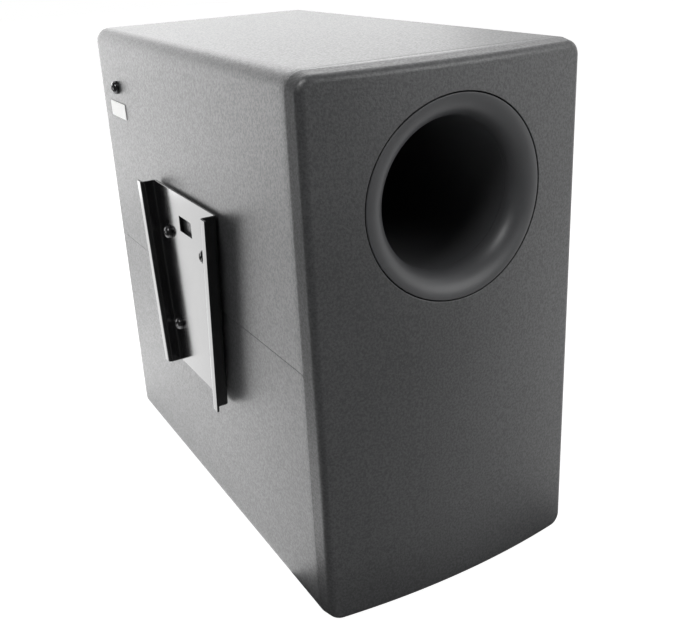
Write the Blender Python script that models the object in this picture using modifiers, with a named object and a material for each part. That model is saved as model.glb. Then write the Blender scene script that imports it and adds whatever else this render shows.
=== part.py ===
"""Compact ported bass cabinet with its own amplifier and a slide-in hanging bracket.

Metres, +Z up. The cabinet frame has X across, with the bracket on the -X side, Y from the
front to the back and Z up from the cabinet's underside. Its zero is the middle of the
cabinet's width, on the chord of the bowed front.
"""

import math

import bmesh
import bpy

# Fits
FIT_GAP = 0.0003                # between pieces that touch
SHAFT_GAP = 0.0005              # round a shaft or lever that moves

# Cabinet
CABINET_WIDTH = 0.225
UPPER_HEIGHT = 0.200            # side seam to top
LOWER_HEIGHT = 0.200            # underside to side seam
CABINET_DEPTH = 0.406           # chord of the front to the back edges
FRONT_BOW = 0.0095              # rise of the front over its chord
LONG_EDGE_RADIUS = 0.0125       # edges that run front to back
FRONT_EDGE_RADIUS = 0.0085      # edge all round the front
WALL = 0.015
BAFFLE_THICKNESS = 0.0125       # behind the chord
DIVIDER_THICKNESS = 0.015
REAR_PANEL_THICKNESS = 0.012
REAR_RECESS = 0.022             # depth of the well in the back
CLEAT = 0.014                   # square fixing strips
CORNER_STEPS = 6
BOW_STEPS = 12
EDGE_STEPS = 5

# Feet
FOOT_HEIGHT = 0.005
FOOT_RADIUS = 0.011
FOOT_DRAFT = 0.0015             # how much narrower the foot is where it stands
FOOT_SIDE_INSET = 0.035
FOOT_END_INSET = 0.045
FOOT_STEPS = 12

# Port
PORT_LIFT = 0.010               # above the middle of the upper chamber
RIM_RADIUS = 0.0702
RIM_GAP = 0.0009                # shadow line round the rim
RIM_LEDGE = 0.007               # chord of the front to the ledge that the rim sits on
THROAT_RADIUS = 0.0535
FLARE_SKIN = 0.003
THROAT_RUN = 0.003              # straight throat before a tube's end
TUBE_WALL = 0.0025
TUBE_LENGTH = 0.170
SOCKET_DEPTH = 0.017
INNER_FLARE_RADIUS = 0.012
PORT_STEPS = 36
FLARE_ARC_STEPS = 8
INNER_ARC_STEPS = 5

# Hanging bracket
BRACKET_HEIGHT = 0.165
BRACKET_TOP_WIDTH = 0.135       # between the walls
BRACKET_BOTTOM_WIDTH = 0.103
BRACKET_SET_BACK = 0.204        # chord of the front to the bracket's middle
BRACKET_REACH = 0.016           # cabinet side to the lips' outer face
BRACKET_STANDOFF = 0.002        # cabinet side to the back of the plate
SHEET = 0.002
LIP_WIDTH = 0.0095
BEND_RADIUS = 0.0025
BEND_STEPS = 3
BOSS_RADIUS = 0.009
WINDOW_LENGTH = 0.026
WINDOW_HEIGHT = 0.013
WINDOW_RISE = 0.0565
SCREW_SPREAD_ALONG = 0.040
SCREW_SPREAD_UP = 0.0425
SCREW_RADIUS = 0.003
SCREW_HEAD_RADIUS = 0.0055
SCREW_HEAD_HEIGHT = 0.0045
SCREW_GRIP = 0.011              # screw's length inside the wall
SCREW_STEPS = 10

# Anchor screw and bare label on the bracket side
ANCHOR_FROM_BACK = 0.048
ANCHOR_FROM_TOP = 0.049
ANCHOR_HEAD_RADIUS = 0.0058
ANCHOR_HEAD_HEIGHT = 0.005
LABEL_LENGTH = 0.042
LABEL_HEIGHT = 0.014
LABEL_THICKNESS = 0.0004
LABEL_FROM_BACK = 0.044
LABEL_FROM_TOP = 0.070

# Drive unit, with its zero on the divider's top
FRAME_SIDE_GAP = 0.0095         # flange to the cabinet's wall
FLANGE_WIDTH = 0.0145
FLANGE_THICKNESS = 0.003
FLANGE_SEAT = 0.011             # width of the flange that rests on the divider
GASKET = 0.0015
BASKET_DEPTH = 0.060
BASKET_FOOT = 0.003
BASKET_FOOT_RADIUS = 0.0525
BASKET_WALL = 0.0022
BASKET_SHOULDER_DEPTH = 0.018
BASKET_TAPER_END = 0.050
WINDOW_SPAN = 0.026
WINDOW_TOP_DEPTH = 0.0215
WINDOW_PAIRS = 3
SPIDER_DEPTH = 0.0405
SPIDER_ROLL = 0.0012
SPIDER_ROLLS = 3
SPIDER_COLLAR = 0.004
SOFT_SKIN = 0.0008              # surround, spider and dust cap
ROLL_RADIUS = 0.0055
ROLL_INSET = 0.0045             # flange's bore to the middle of the roll
SURROUND_FLAT = 0.0045
CONE_SKIN = 0.001
CONE_NECK_DEPTH = 0.030
CAP_RADIUS = 0.030
CAP_RISE = 0.010
TRAVEL = 0.008                  # each way
FORMER_RADIUS = 0.0191
FORMER_WALL = 0.0005
WINDING = 0.0006
AIR_GAP = 0.0007
POLE_CLEARANCE = 0.0008
TOP_PLATE = 0.006
TOP_PLATE_RADIUS = 0.050
MAGNET_HEIGHT = 0.020
MAGNET_RADIUS = 0.055
MAGNET_BORE = 0.028
BACK_PLATE = 0.008
VENT_RADIUS = 0.005
DRIVER_STEPS = 24
ROLL_STEPS = 6

# Drive unit's terminal and the two leads to the amplifier
PAD_WIDTH = 0.020
PAD_HEIGHT = 0.014
PAD_OUT = 0.005                 # beyond the foot of the basket
TERMINAL_HEIGHT = 0.008
TERMINAL_THICKNESS = 0.003
TAB_LENGTH = 0.008
TAB_WIDTH = 0.0048
TAB_OFFSET = 0.006
LEAD_DIAMETER = 0.0024
LEAD_DROP = 0.012               # straight down from the tabs
LEAD_TURN_BACK = 0.014          # towards the back in the first bend
LEAD_TURN_DEPTH = 0.031         # first bend below the tabs
LEAD_RISE_START = 0.044         # ahead of the board, where the lead starts to climb
LEAD_RISE = 0.014
LEAD_STUB = 0.014               # straight into the board
LEAD_LANDING = 0.020            # above the amplifier's middle
LEAD_SAMPLES = 4

# Amplifier, with its zero on the back panel's outer face, seen from behind
AMP_MARGIN = 0.0125             # panel to the cabinet's walls
AMP_HEIGHT = 0.140
AMP_LIP = 0.011                 # panel's overlap round the cut-out
AMP_CORNER = 0.004
AMP_PANEL = 0.002
AMP_GASKET = 0.0015
BOARD_MARGIN = 0.004
BOARD_SPACING = 0.014
BOARD = 0.0016
CONTROL_WIDTH = 0.078           # cut-out's left edge to the heat sink
SINK_EDGE = 0.006
SINK_HEIGHT = 0.118
SINK_BASE = 0.003
SINK_DEPTH = 0.014
FIN = 0.002
FIN_COUNT = 9
KNOB_ROW = 0.044
KNOB_START = 0.011
KNOB_PITCH = 0.0235
KNOB_RADIUS = 0.0075
KNOB_HEIGHT = 0.010
KNOB_CHAMFER = 0.001
POINTER_WIDTH = 0.0012
POINTER_DEPTH = 0.0008
SHAFT_RADIUS = 0.003
SHAFT_LENGTH = 0.012
POT_RADIUS = 0.008
BUSH_RADIUS = 0.0048
SWITCH_ROW = 0.018
SWITCH_COLUMN = 0.024
SWITCH_LENGTH = 0.014
SWITCH_HEIGHT = 0.008
SWITCH_WELL = 0.006
LEVER_LENGTH = 0.003
LEVER_WIDTH = 0.0034
LEVER_RISE = 0.004
LEVER_TRAVEL = 0.004
LAMP_COLUMN = 0.054
LAMP_RADIUS = 0.0024
LAMP_SHOULDER = 0.0034
LAMP_RISE = 0.002
JACK_ROW = -0.008
JACK_COLUMNS = (0.022, 0.046)
JACK_RADIUS = 0.0042
JACK_SHOULDER = 0.0055
JACK_BORE = 0.0017
JACK_RISE = 0.009
JACK_BORE_DEPTH = 0.008
TERMINAL_ROW = -0.040
TERMINAL_COLUMN = 0.022
STRIP_LENGTH = 0.036
STRIP_WIDTH = 0.014
STRIP_BASE = 0.004
STRIP_RISE = 0.010
BARRIER = 0.002
BARRIER_COUNT = 4
FUSE_COLUMN = 0.058
FUSE_HOLDER_LENGTH = 0.020
FUSE_HOLDER_WIDTH = 0.010
FUSE_HOLDER_RISE = 0.008
FUSE_HEAD_LENGTH = 0.018
FUSE_HEAD_RISE = 0.005
FUSE_BODY_LENGTH = 0.0138
FUSE_THICKNESS = 0.0038
FUSE_SINK = 0.0055
CAN_RADIUS = 0.009
CAN_LENGTH = 0.030
CAN_GROOVE = 0.001
CAN_COLUMNS = (0.045, 0.021)    # from the board's right edge
CAN_ROW = 0.006
CHOKE_RADIUS = 0.012
CHOKE_THICKNESS = 0.005
CHOKE_COLUMN = 0.030            # from the board's left edge
SMALL_STEPS = 14

# Worked out from the sizes above
CABINET_HEIGHT = LOWER_HEIGHT + UPPER_HEIGHT
HALF_WIDTH = CABINET_WIDTH / 2
INNER_HALF = HALF_WIDTH - WALL
BOW_RADIUS = (HALF_WIDTH ** 2 + FRONT_BOW ** 2) / (2 * FRONT_BOW)
SHELL_START = BAFFLE_THICKNESS + FIT_GAP
REAR_FACE = CABINET_DEPTH - REAR_RECESS
REAR_INSIDE = REAR_FACE - REAR_PANEL_THICKNESS
DIVIDER_TOP = LOWER_HEIGHT + DIVIDER_THICKNESS / 2
DIVIDER_UNDERSIDE = LOWER_HEIGHT - DIVIDER_THICKNESS / 2
PORT_LEVEL = (DIVIDER_TOP + CABINET_HEIGHT - WALL) / 2 + PORT_LIFT
SOCKET_RADIUS = THROAT_RADIUS + TUBE_WALL + FIT_GAP
SLEEVE_RADIUS = SOCKET_RADIUS + FLARE_SKIN
FLARE_RADIUS = RIM_RADIUS - THROAT_RADIUS
FLARE_END = FLARE_RADIUS - FRONT_BOW
TUBE_START = FLARE_END + THROAT_RUN + FIT_GAP
TUBE_END = TUBE_START + TUBE_LENGTH
DRIVER_SET_BACK = (BAFFLE_THICKNESS + REAR_INSIDE) / 2
FRAME_RADIUS = INNER_HALF - FRAME_SIDE_GAP
FLANGE_BORE = FRAME_RADIUS - FLANGE_WIDTH
DIVIDER_HOLE = FRAME_RADIUS - FLANGE_SEAT
FLANGE_UNDERSIDE = FIT_GAP + GASKET + FIT_GAP
FLANGE_TOP = FLANGE_UNDERSIDE + FLANGE_THICKNESS
ROLL_MIDDLE = FLANGE_BORE - ROLL_INSET
CONE_RIM = ROLL_MIDDLE - ROLL_RADIUS
CONE_FLAT = CONE_RIM - SURROUND_FLAT
BASKET_SHOULDER = FLANGE_BORE - BASKET_WALL / 2
TAPER_SHARE = (SPIDER_DEPTH - BASKET_SHOULDER_DEPTH) / (BASKET_TAPER_END - BASKET_SHOULDER_DEPTH)
SPIDER_SEAT = BASKET_SHOULDER - BASKET_WALL - TAPER_SHARE * (BASKET_SHOULDER - BASKET_FOOT_RADIUS)
NECK_RADIUS = FORMER_RADIUS + FIT_GAP
COIL_RADIUS = NECK_RADIUS + WINDING
PLATE_TOP = -BASKET_DEPTH - FIT_GAP
MAGNET_TOP = PLATE_TOP - TOP_PLATE - FIT_GAP
BACK_TOP = MAGNET_TOP - MAGNET_HEIGHT - FIT_GAP
COIL_LENGTH = TOP_PLATE + 2 * TRAVEL
COIL_BOTTOM = PLATE_TOP - TOP_PLATE / 2 - COIL_LENGTH / 2
PAD_FACE = BASKET_FOOT_RADIUS + PAD_OUT
TERMINAL_BOTTOM = PAD_HEIGHT / 2 - BASKET_DEPTH - TERMINAL_HEIGHT / 2
AMP_LEVEL = (WALL + DIVIDER_UNDERSIDE) / 2
AMP_WIDTH = 2 * (INNER_HALF - AMP_MARGIN)
CUTOUT_WIDTH = AMP_WIDTH - 2 * AMP_LIP
CUTOUT_HEIGHT = AMP_HEIGHT - 2 * AMP_LIP
CUTOUT_LEFT = -CUTOUT_WIDTH / 2
PANEL_BACK = AMP_GASKET + 2 * FIT_GAP
PANEL_FACE = PANEL_BACK + AMP_PANEL
PANEL_SEAT = PANEL_FACE + FIT_GAP
BOARD_FACE = PANEL_BACK - BOARD_SPACING
BOARD_INSIDE = BOARD_FACE - BOARD
BOARD_WIDTH = CUTOUT_WIDTH - 2 * BOARD_MARGIN
BOARD_HEIGHT = CUTOUT_HEIGHT - 2 * BOARD_MARGIN
SINK_LEFT = CUTOUT_LEFT + CONTROL_WIDTH
SINK_WIDTH = AMP_WIDTH / 2 - SINK_EDGE - SINK_LEFT
PLATE_FACE = BRACKET_STANDOFF + SHEET

# Turns that point a piece's own Z along another axis
TO_BACK = (-math.pi / 2, 0, 0)          # own Z to +Y, own Y down
TO_FRONT = (math.pi / 2, 0, 0)          # own Z to -Y, own Y up
TO_BRACKET_SIDE = (0, -math.pi / 2, 0)  # own Z to -X, own X up
FROM_BEHIND = (math.pi / 2, 0, math.pi)  # own Z to +Y, own X to -X, own Y up

# Finishes: colour, roughness, metallic
FINISHES = {
    "charcoal_paint": ((0.060, 0.061, 0.063), 0.62, 0.0),
    "bare_board": ((0.42, 0.30, 0.18), 0.85, 0.0),
    "moulded_black": ((0.050, 0.051, 0.053), 0.50, 0.0),
    "port_plastic": ((0.045, 0.046, 0.048), 0.45, 0.0),
    "black_steel": ((0.030, 0.030, 0.031), 0.32, 0.35),
    "bright_steel": ((0.62, 0.62, 0.60), 0.28, 1.0),
    "dark_steel": ((0.045, 0.045, 0.047), 0.40, 0.8),
    "zinc_steel": ((0.50, 0.50, 0.49), 0.38, 1.0),
    "black_aluminium": ((0.035, 0.035, 0.037), 0.42, 0.6),
    "cone_paper": ((0.035, 0.034, 0.033), 0.88, 0.0),
    "rubber": ((0.022, 0.022, 0.022), 0.78, 0.0),
    "spider_cloth": ((0.55, 0.40, 0.18), 0.90, 0.0),
    "former_film": ((0.45, 0.24, 0.06), 0.45, 0.0),
    "copper": ((0.72, 0.34, 0.18), 0.35, 1.0),
    "ferrite": ((0.055, 0.055, 0.058), 0.60, 0.1),
    "green_board": ((0.02, 0.12, 0.05), 0.55, 0.0),
    "blue_sleeve": ((0.03, 0.05, 0.16), 0.40, 0.0),
    "gold_plate": ((0.80, 0.58, 0.22), 0.28, 1.0),
    "clear_lens": ((0.10, 0.45, 0.14), 0.15, 0.0),
    "amber_plastic": ((0.70, 0.30, 0.04), 0.35, 0.0),
    "red_wire": ((0.45, 0.03, 0.03), 0.50, 0.0),
    "black_wire": ((0.025, 0.025, 0.025), 0.50, 0.0),
    "white_label": ((0.86, 0.86, 0.85), 0.60, 0.0),
}


# Scene helpers

def clear_scene():
    """Remove everything that the file opened with."""
    for item in list(bpy.data.objects):
        bpy.data.objects.remove(item, do_unlink=True)


def make_collection(name):
    """New collection in the scene."""
    collection = bpy.data.collections.new(name)
    bpy.context.scene.collection.children.link(collection)
    return collection


def make_datum(name, location, rotation=(0, 0, 0), parent=None):
    """Empty that carries the pieces of one sub-assembly."""
    empty = bpy.data.objects.new(name, None)
    empty.location = location
    empty.rotation_euler = rotation
    empty.parent = parent
    PARTS.objects.link(empty)
    return empty


def dress(part, finish):
    """Give a piece a material of its own."""
    colour, roughness, metallic = FINISHES[finish]
    material = bpy.data.materials.new(part.name + "_" + finish)
    material.use_nodes = True
    shader = material.node_tree.nodes["Principled BSDF"]
    shader.inputs["Base Color"].default_value = (*colour, 1.0)
    shader.inputs["Roughness"].default_value = roughness
    shader.inputs["Metallic"].default_value = metallic
    part.data.materials.append(material)


def add_part(name, data, datum, finish, location=(0, 0, 0), rotation=(0, 0, 0)):
    """Named piece of the object."""
    part = bpy.data.objects.new(name, data)
    part.location = location
    part.rotation_euler = rotation
    part.parent = datum
    PARTS.objects.link(part)
    dress(part, finish)
    return part


def add_tool(name, data, datum, location=(0, 0, 0), rotation=(0, 0, 0)):
    """Helper solid that cuts, trims or joins on to a piece."""
    tool = bpy.data.objects.new(name, data)
    tool.location = location
    tool.rotation_euler = rotation
    tool.parent = datum
    tool.hide_render = True
    tool.display_type = "WIRE"
    CUTTERS.objects.link(tool)
    return tool


def apply_tool(part, tool, operation="DIFFERENCE"):
    """Boolean between a piece and a helper solid."""
    modifier = part.modifiers.new(tool.name, "BOOLEAN")
    modifier.operation = operation
    modifier.object = tool


# Outlines in a plane

def arc(centre, radius, start, end, steps):
    """Points of an arc between two angles in degrees, both ends included."""
    points = []
    for step in range(steps + 1):
        angle = math.radians(start + (end - start) * step / steps)
        points.append((centre[0] + radius * math.cos(angle), centre[1] + radius * math.sin(angle)))
    return points


def circle(centre, radius, steps):
    """Closed round outline."""
    return arc(centre, radius, 0, 360 - 360 / steps, steps - 1)


def rectangle(width, height, centre=(0, 0)):
    """Closed outline with square corners."""
    x, y = centre
    right, up = width / 2, height / 2
    return [(x - right, y - up), (x + right, y - up), (x + right, y + up), (x - right, y + up)]


def rounded_rectangle(width, height, radius, steps):
    """Closed outline with round corners, about its own middle."""
    points = []
    for quarter, (side, up) in enumerate(((1, 1), (-1, 1), (-1, -1), (1, -1))):
        centre = (side * (width / 2 - radius), up * (height / 2 - radius))
        points += arc(centre, radius, 90 * quarter, 90 * quarter + 90, steps)
    return points


def comb(width, base, rise, tooth, count):
    """Closed outline of a flat base with upright teeth, the outer two at its ends."""
    points = [(width, 0), (0, 0)]
    pitch = (width - tooth) / (count - 1)
    for index in range(count):
        left = index * pitch
        if index:
            points.append((left, base))
        points += [(left, rise), (left + tooth, rise)]
        if index < count - 1:
            points.append((left + tooth, base))
    return points


# Meshes

def tidy(mesh):
    """Weld the loose edges of a mesh and turn its faces outwards."""
    work = bmesh.new()
    work.from_mesh(mesh)
    bmesh.ops.remove_doubles(work, verts=work.verts, dist=FIT_GAP / 100)
    bmesh.ops.recalc_face_normals(work, faces=work.faces)
    work.to_mesh(mesh)
    work.free()
    return mesh


def evaluated_mesh(item):
    """Mesh of an object with its modifiers worked out, in its own frame. The object is removed."""
    depsgraph = bpy.context.evaluated_depsgraph_get()
    mesh = bpy.data.meshes.new_from_object(item.evaluated_get(depsgraph))
    bpy.data.objects.remove(item, do_unlink=True)
    return mesh


def slab(name, loops, thickness):
    """Flat outline, with holes after its first loop, thick about its own plane."""
    curve = bpy.data.curves.new(name, "CURVE")
    curve.dimensions = "2D"
    curve.fill_mode = "BOTH"
    curve.extrude = thickness / 2
    for loop in loops:
        spline = curve.splines.new("POLY")
        spline.points.add(len(loop) - 1)
        for point, (x, y) in zip(spline.points, loop):
            point.co = (x, y, 0, 1)
        spline.use_cyclic_u = True
    holder = bpy.data.objects.new(name, curve)
    CUTTERS.objects.link(holder)
    return tidy(evaluated_mesh(holder))


def block(name, low, high):
    """Box between two corners."""
    mesh = bpy.data.meshes.new(name)
    work = bmesh.new()
    bmesh.ops.create_cube(work, size=1)
    for vert in work.verts:
        vert.co = [low[i] + (high[i] - low[i]) * (vert.co[i] + 0.5) for i in range(3)]
    work.to_mesh(mesh)
    work.free()
    return mesh


def rod(name, radius, start, end, steps):
    """Cylinder along Z between two heights."""
    mesh = bpy.data.meshes.new(name)
    work = bmesh.new()
    bmesh.ops.create_cone(
        work, cap_ends=True, segments=steps, radius1=radius, radius2=radius, depth=end - start)
    bmesh.ops.translate(work, verts=work.verts, vec=(0, 0, (start + end) / 2))
    work.to_mesh(mesh)
    work.free()
    return mesh


def profile_mesh(name, profile):
    """Edges of a profile in the XZ plane, closed unless it ends on the axis."""
    mesh = bpy.data.meshes.new(name)
    count = len(profile)
    edges = [(index, index + 1) for index in range(count - 1)]
    if profile[0][0] > 0:
        edges.append((count - 1, 0))
    mesh.from_pydata([(radius, 0, height) for radius, height in profile], edges, [])
    return mesh


def turn(item, steps):
    """Turn a profile about its own Z."""
    screw = item.modifiers.new("turned", "SCREW")
    screw.steps = steps
    screw.render_steps = steps
    screw.use_merge_vertices = True
    screw.merge_threshold = 0.00001
    screw.use_smooth_shade = True
    return item


def turned_part(name, profile, steps, datum, finish, location=(0, 0, 0), rotation=(0, 0, 0)):
    """Turned piece: its profile runs down the outer side and back up the inner one."""
    part = add_part(name, profile_mesh(name, profile), datum, finish, location, rotation)
    return turn(part, steps)


def ring(outer, inner, top, bottom):
    """Profile of a plain ring."""
    return [(outer, top), (outer, bottom), (inner, bottom), (inner, top)]


def between(value, start, end):
    """Height at a given radius on the line between two points of a profile."""
    share = (value - start[0]) / (end[0] - start[0])
    return start[1] + share * (end[1] - start[1])


# Cabinet

def bow_drop(x):
    """How far the front has fallen back from its crest, x off the middle."""
    return BOW_RADIUS - math.sqrt(BOW_RADIUS ** 2 - x ** 2)


def shell_outline(joint, crown):
    """U-shaped section of one half of the cabinet's wrap, from the seam to its crown."""
    way = 1 if crown > joint else -1
    shoulder = crown - way * LONG_EDGE_RADIUS
    inside = crown - way * WALL
    side = HALF_WIDTH - LONG_EDGE_RADIUS
    points = [(HALF_WIDTH, joint)]
    points += arc((side, shoulder), LONG_EDGE_RADIUS, 0, way * 90, CORNER_STEPS)
    points += arc((-side, shoulder), LONG_EDGE_RADIUS, way * 90, way * 180, CORNER_STEPS)
    points += [(-HALF_WIDTH, joint), (-INNER_HALF, joint), (-INNER_HALF, inside)]
    points += [(INNER_HALF, inside), (INNER_HALF, joint)]
    return points


def build_shells():
    """Upper and lower halves of the wrap, which meet at the side seam."""
    length = CABINET_DEPTH - SHELL_START
    middle = (0, (CABINET_DEPTH + SHELL_START) / 2, 0)
    halves = (
        ("upper_shell", LOWER_HEIGHT + FIT_GAP / 2, CABINET_HEIGHT),
        ("lower_shell", LOWER_HEIGHT - FIT_GAP / 2, 0),
    )
    shells = []
    for name, joint, crown in halves:
        mesh = slab(name, [shell_outline(joint, crown)], length)
        shells.append(add_part(name, mesh, CABINET, "charcoal_paint", middle, TO_FRONT))
    return shells


def bowed_block():
    """Front board: bowed in plan, round at its corners, with its front edge rounded off."""
    reach = HALF_WIDTH + WALL
    half_angle = math.degrees(math.asin(reach / BOW_RADIUS))
    centre = (0, BOW_RADIUS - FRONT_BOW)
    plan = arc(centre, BOW_RADIUS, 270 - half_angle, 270 + half_angle, BOW_STEPS)
    plan += [(reach, BAFFLE_THICKNESS), (-reach, BAFFLE_THICKNESS)]
    board = bpy.data.objects.new("bowed_board", slab("bowed_board", [plan], CABINET_HEIGHT + WALL))
    CUTTERS.objects.link(board)
    outline = rounded_rectangle(CABINET_WIDTH, CABINET_HEIGHT, LONG_EDGE_RADIUS, CORNER_STEPS)
    trim = bpy.data.objects.new("front_trim", slab("front_trim", [outline], 4 * BAFFLE_THICKNESS))
    trim.rotation_euler = TO_FRONT
    CUTTERS.objects.link(trim)
    apply_tool(board, trim, "INTERSECT")
    mesh = tidy(evaluated_mesh(board))
    bpy.data.objects.remove(trim, do_unlink=True)
    return round_front(mesh)


def round_front(mesh):
    """Round the edge between the bowed face and the sides."""
    work = bmesh.new()
    work.from_mesh(mesh)
    work.normal_update()
    rim = []
    for edge in work.edges:
        facing = sorted(face.normal.y for face in edge.link_faces)
        if facing[0] < -0.7 and abs(facing[-1]) < 0.3:
            rim.append(edge)
    bmesh.ops.bevel(
        work, geom=rim, offset=FRONT_EDGE_RADIUS, segments=EDGE_STEPS, profile=0.5,
        affect="EDGES", offset_type="OFFSET")
    work.to_mesh(mesh)
    work.free()
    return tidy(mesh)


def build_baffle():
    """One-piece front with the stepped hole that the port's rim sits in."""
    part = add_part(
        "front_baffle", bowed_block(), CABINET, "charcoal_paint", (0, 0, CABINET_HEIGHT / 2))
    front = -2 * FRONT_BOW
    step = rod("rim_step", RIM_RADIUS + RIM_GAP, front, RIM_LEDGE + FIT_GAP, PORT_STEPS)
    hole = rod("port_hole", SLEEVE_RADIUS + FLARE_SKIN, front, 2 * BAFFLE_THICKNESS, PORT_STEPS)
    apply_tool(part, add_tool("rim_step", step, PORT))
    apply_tool(part, add_tool("port_hole", hole, PORT))


def build_boards():
    """Divider between the chambers, inset back panel, and the strips that carry them."""
    side = INNER_HALF - FIT_GAP
    back = REAR_INSIDE - FIT_GAP
    divider = block(
        "divider_board", (-side, SHELL_START, DIVIDER_UNDERSIDE), (side, back, DIVIDER_TOP))
    part = add_part("divider_board", divider, CABINET, "bare_board")
    hole = rod("driver_hole", DIVIDER_HOLE, -2 * DIVIDER_THICKNESS, DIVIDER_THICKNESS, DRIVER_STEPS)
    apply_tool(part, add_tool("driver_hole", hole, DRIVER))
    top = DIVIDER_UNDERSIDE - FIT_GAP
    for name, way in (("divider_cleat_left", -1), ("divider_cleat_right", 1)):
        ends = sorted((way * side, way * (side - CLEAT)))
        strip = block(name, (ends[0], SHELL_START, top - CLEAT), (ends[1], back, top))
        add_part(name, strip, CABINET, "bare_board")
    roof = CABINET_HEIGHT - WALL - FIT_GAP
    floor = WALL + FIT_GAP
    panel = block("rear_panel", (-side, REAR_INSIDE, floor), (side, REAR_FACE, roof))
    part = add_part("rear_panel", panel, CABINET, "charcoal_paint")
    opening = slab("amp_opening", [rectangle(CUTOUT_WIDTH, CUTOUT_HEIGHT)], 4 * REAR_PANEL_THICKNESS)
    apply_tool(part, add_tool("amp_opening", opening, AMP))
    for name, low in (("rear_cleat_top", roof - CLEAT), ("rear_cleat_bottom", floor)):
        strip = block(name, (-side, back - CLEAT, low), (side, back, low + CLEAT))
        add_part(name, strip, CABINET, "bare_board")


def build_feet():
    """Four rubber feet, a little narrower where they stand."""
    profile = [
        (0, -FIT_GAP),
        (FOOT_RADIUS, -FIT_GAP),
        (FOOT_RADIUS, -FOOT_HEIGHT / 3),
        (FOOT_RADIUS - FOOT_DRAFT, -FOOT_HEIGHT),
        (0, -FOOT_HEIGHT),
    ]
    across = HALF_WIDTH - FOOT_SIDE_INSET
    for end, y in (("front", FOOT_END_INSET), ("rear", CABINET_DEPTH - FOOT_END_INSET)):
        for side, x in (("left", -across), ("right", across)):
            turned_part(f"foot_{end}_{side}", profile, FOOT_STEPS, CABINET, "rubber", (x, y, 0))


# Port

def front_flare_profile():
    """Hollow-backed flare: sleeve, back of the skin, rim wall, quarter-round airway, socket."""
    centre = (RIM_RADIUS, FLARE_END)
    back = FLARE_RADIUS - FLARE_SKIN
    inner = 180 + math.degrees(math.acos((RIM_RADIUS - SLEEVE_RADIUS) / back))
    outer = 180 + math.degrees(math.acos(FLARE_SKIN / back))
    socket_end = TUBE_START + SOCKET_DEPTH
    profile = [(SLEEVE_RADIUS, socket_end)]
    profile += arc(centre, back, inner, outer, FLARE_ARC_STEPS // 2)
    profile += [(RIM_RADIUS - FLARE_SKIN, RIM_LEDGE), (RIM_RADIUS, RIM_LEDGE)]
    profile += arc(centre, FLARE_RADIUS, 270, 180, FLARE_ARC_STEPS)
    shoulder = TUBE_START - FIT_GAP
    profile += [(THROAT_RADIUS, shoulder), (SOCKET_RADIUS, shoulder), (SOCKET_RADIUS, socket_end)]
    return profile


def build_front_flare():
    """Front flare, turned and then sheared so that its rim lies flush in the bowed front."""
    holder = bpy.data.objects.new("flare_turning", profile_mesh("port_flare", front_flare_profile()))
    CUTTERS.objects.link(holder)
    mesh = tidy(evaluated_mesh(turn(holder, PORT_STEPS)))
    for vert in mesh.vertices:
        if vert.co.z < RIM_LEDGE - FIT_GAP:
            share = (math.hypot(vert.co.x, vert.co.y) - THROAT_RADIUS) / FLARE_RADIUS
            vert.co.z += bow_drop(vert.co.x) * max(share, 0)
    mesh.shade_smooth()
    add_part("port_flare", mesh, PORT, "port_plastic")


def build_port():
    """Flare, tube and inner flare of the port, with local Z running into the cabinet."""
    build_front_flare()
    tube = ring(THROAT_RADIUS + TUBE_WALL, THROAT_RADIUS, TUBE_END, TUBE_START)
    turned_part("port_tube", tube, PORT_STEPS, PORT, "moulded_black")
    shoulder = TUBE_END + FIT_GAP
    start = shoulder + THROAT_RUN
    mouth = THROAT_RADIUS + INNER_FLARE_RADIUS
    centre = (mouth, start)
    back = INNER_FLARE_RADIUS - FLARE_SKIN
    meeting = 180 - math.degrees(math.acos((mouth - SLEEVE_RADIUS) / back))
    profile = [(mouth, start + INNER_FLARE_RADIUS)]
    profile += arc(centre, back, 90, meeting, INNER_ARC_STEPS - 2)
    profile += [(SLEEVE_RADIUS, TUBE_END - SOCKET_DEPTH), (SOCKET_RADIUS, TUBE_END - SOCKET_DEPTH)]
    profile += [(SOCKET_RADIUS, shoulder), (THROAT_RADIUS, shoulder)]
    profile += arc(centre, INNER_FLARE_RADIUS, 180, 90, INNER_ARC_STEPS)[:-1]
    turned_part("port_inner_flare", profile, PORT_STEPS, PORT, "moulded_black")


# Drive unit

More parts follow.
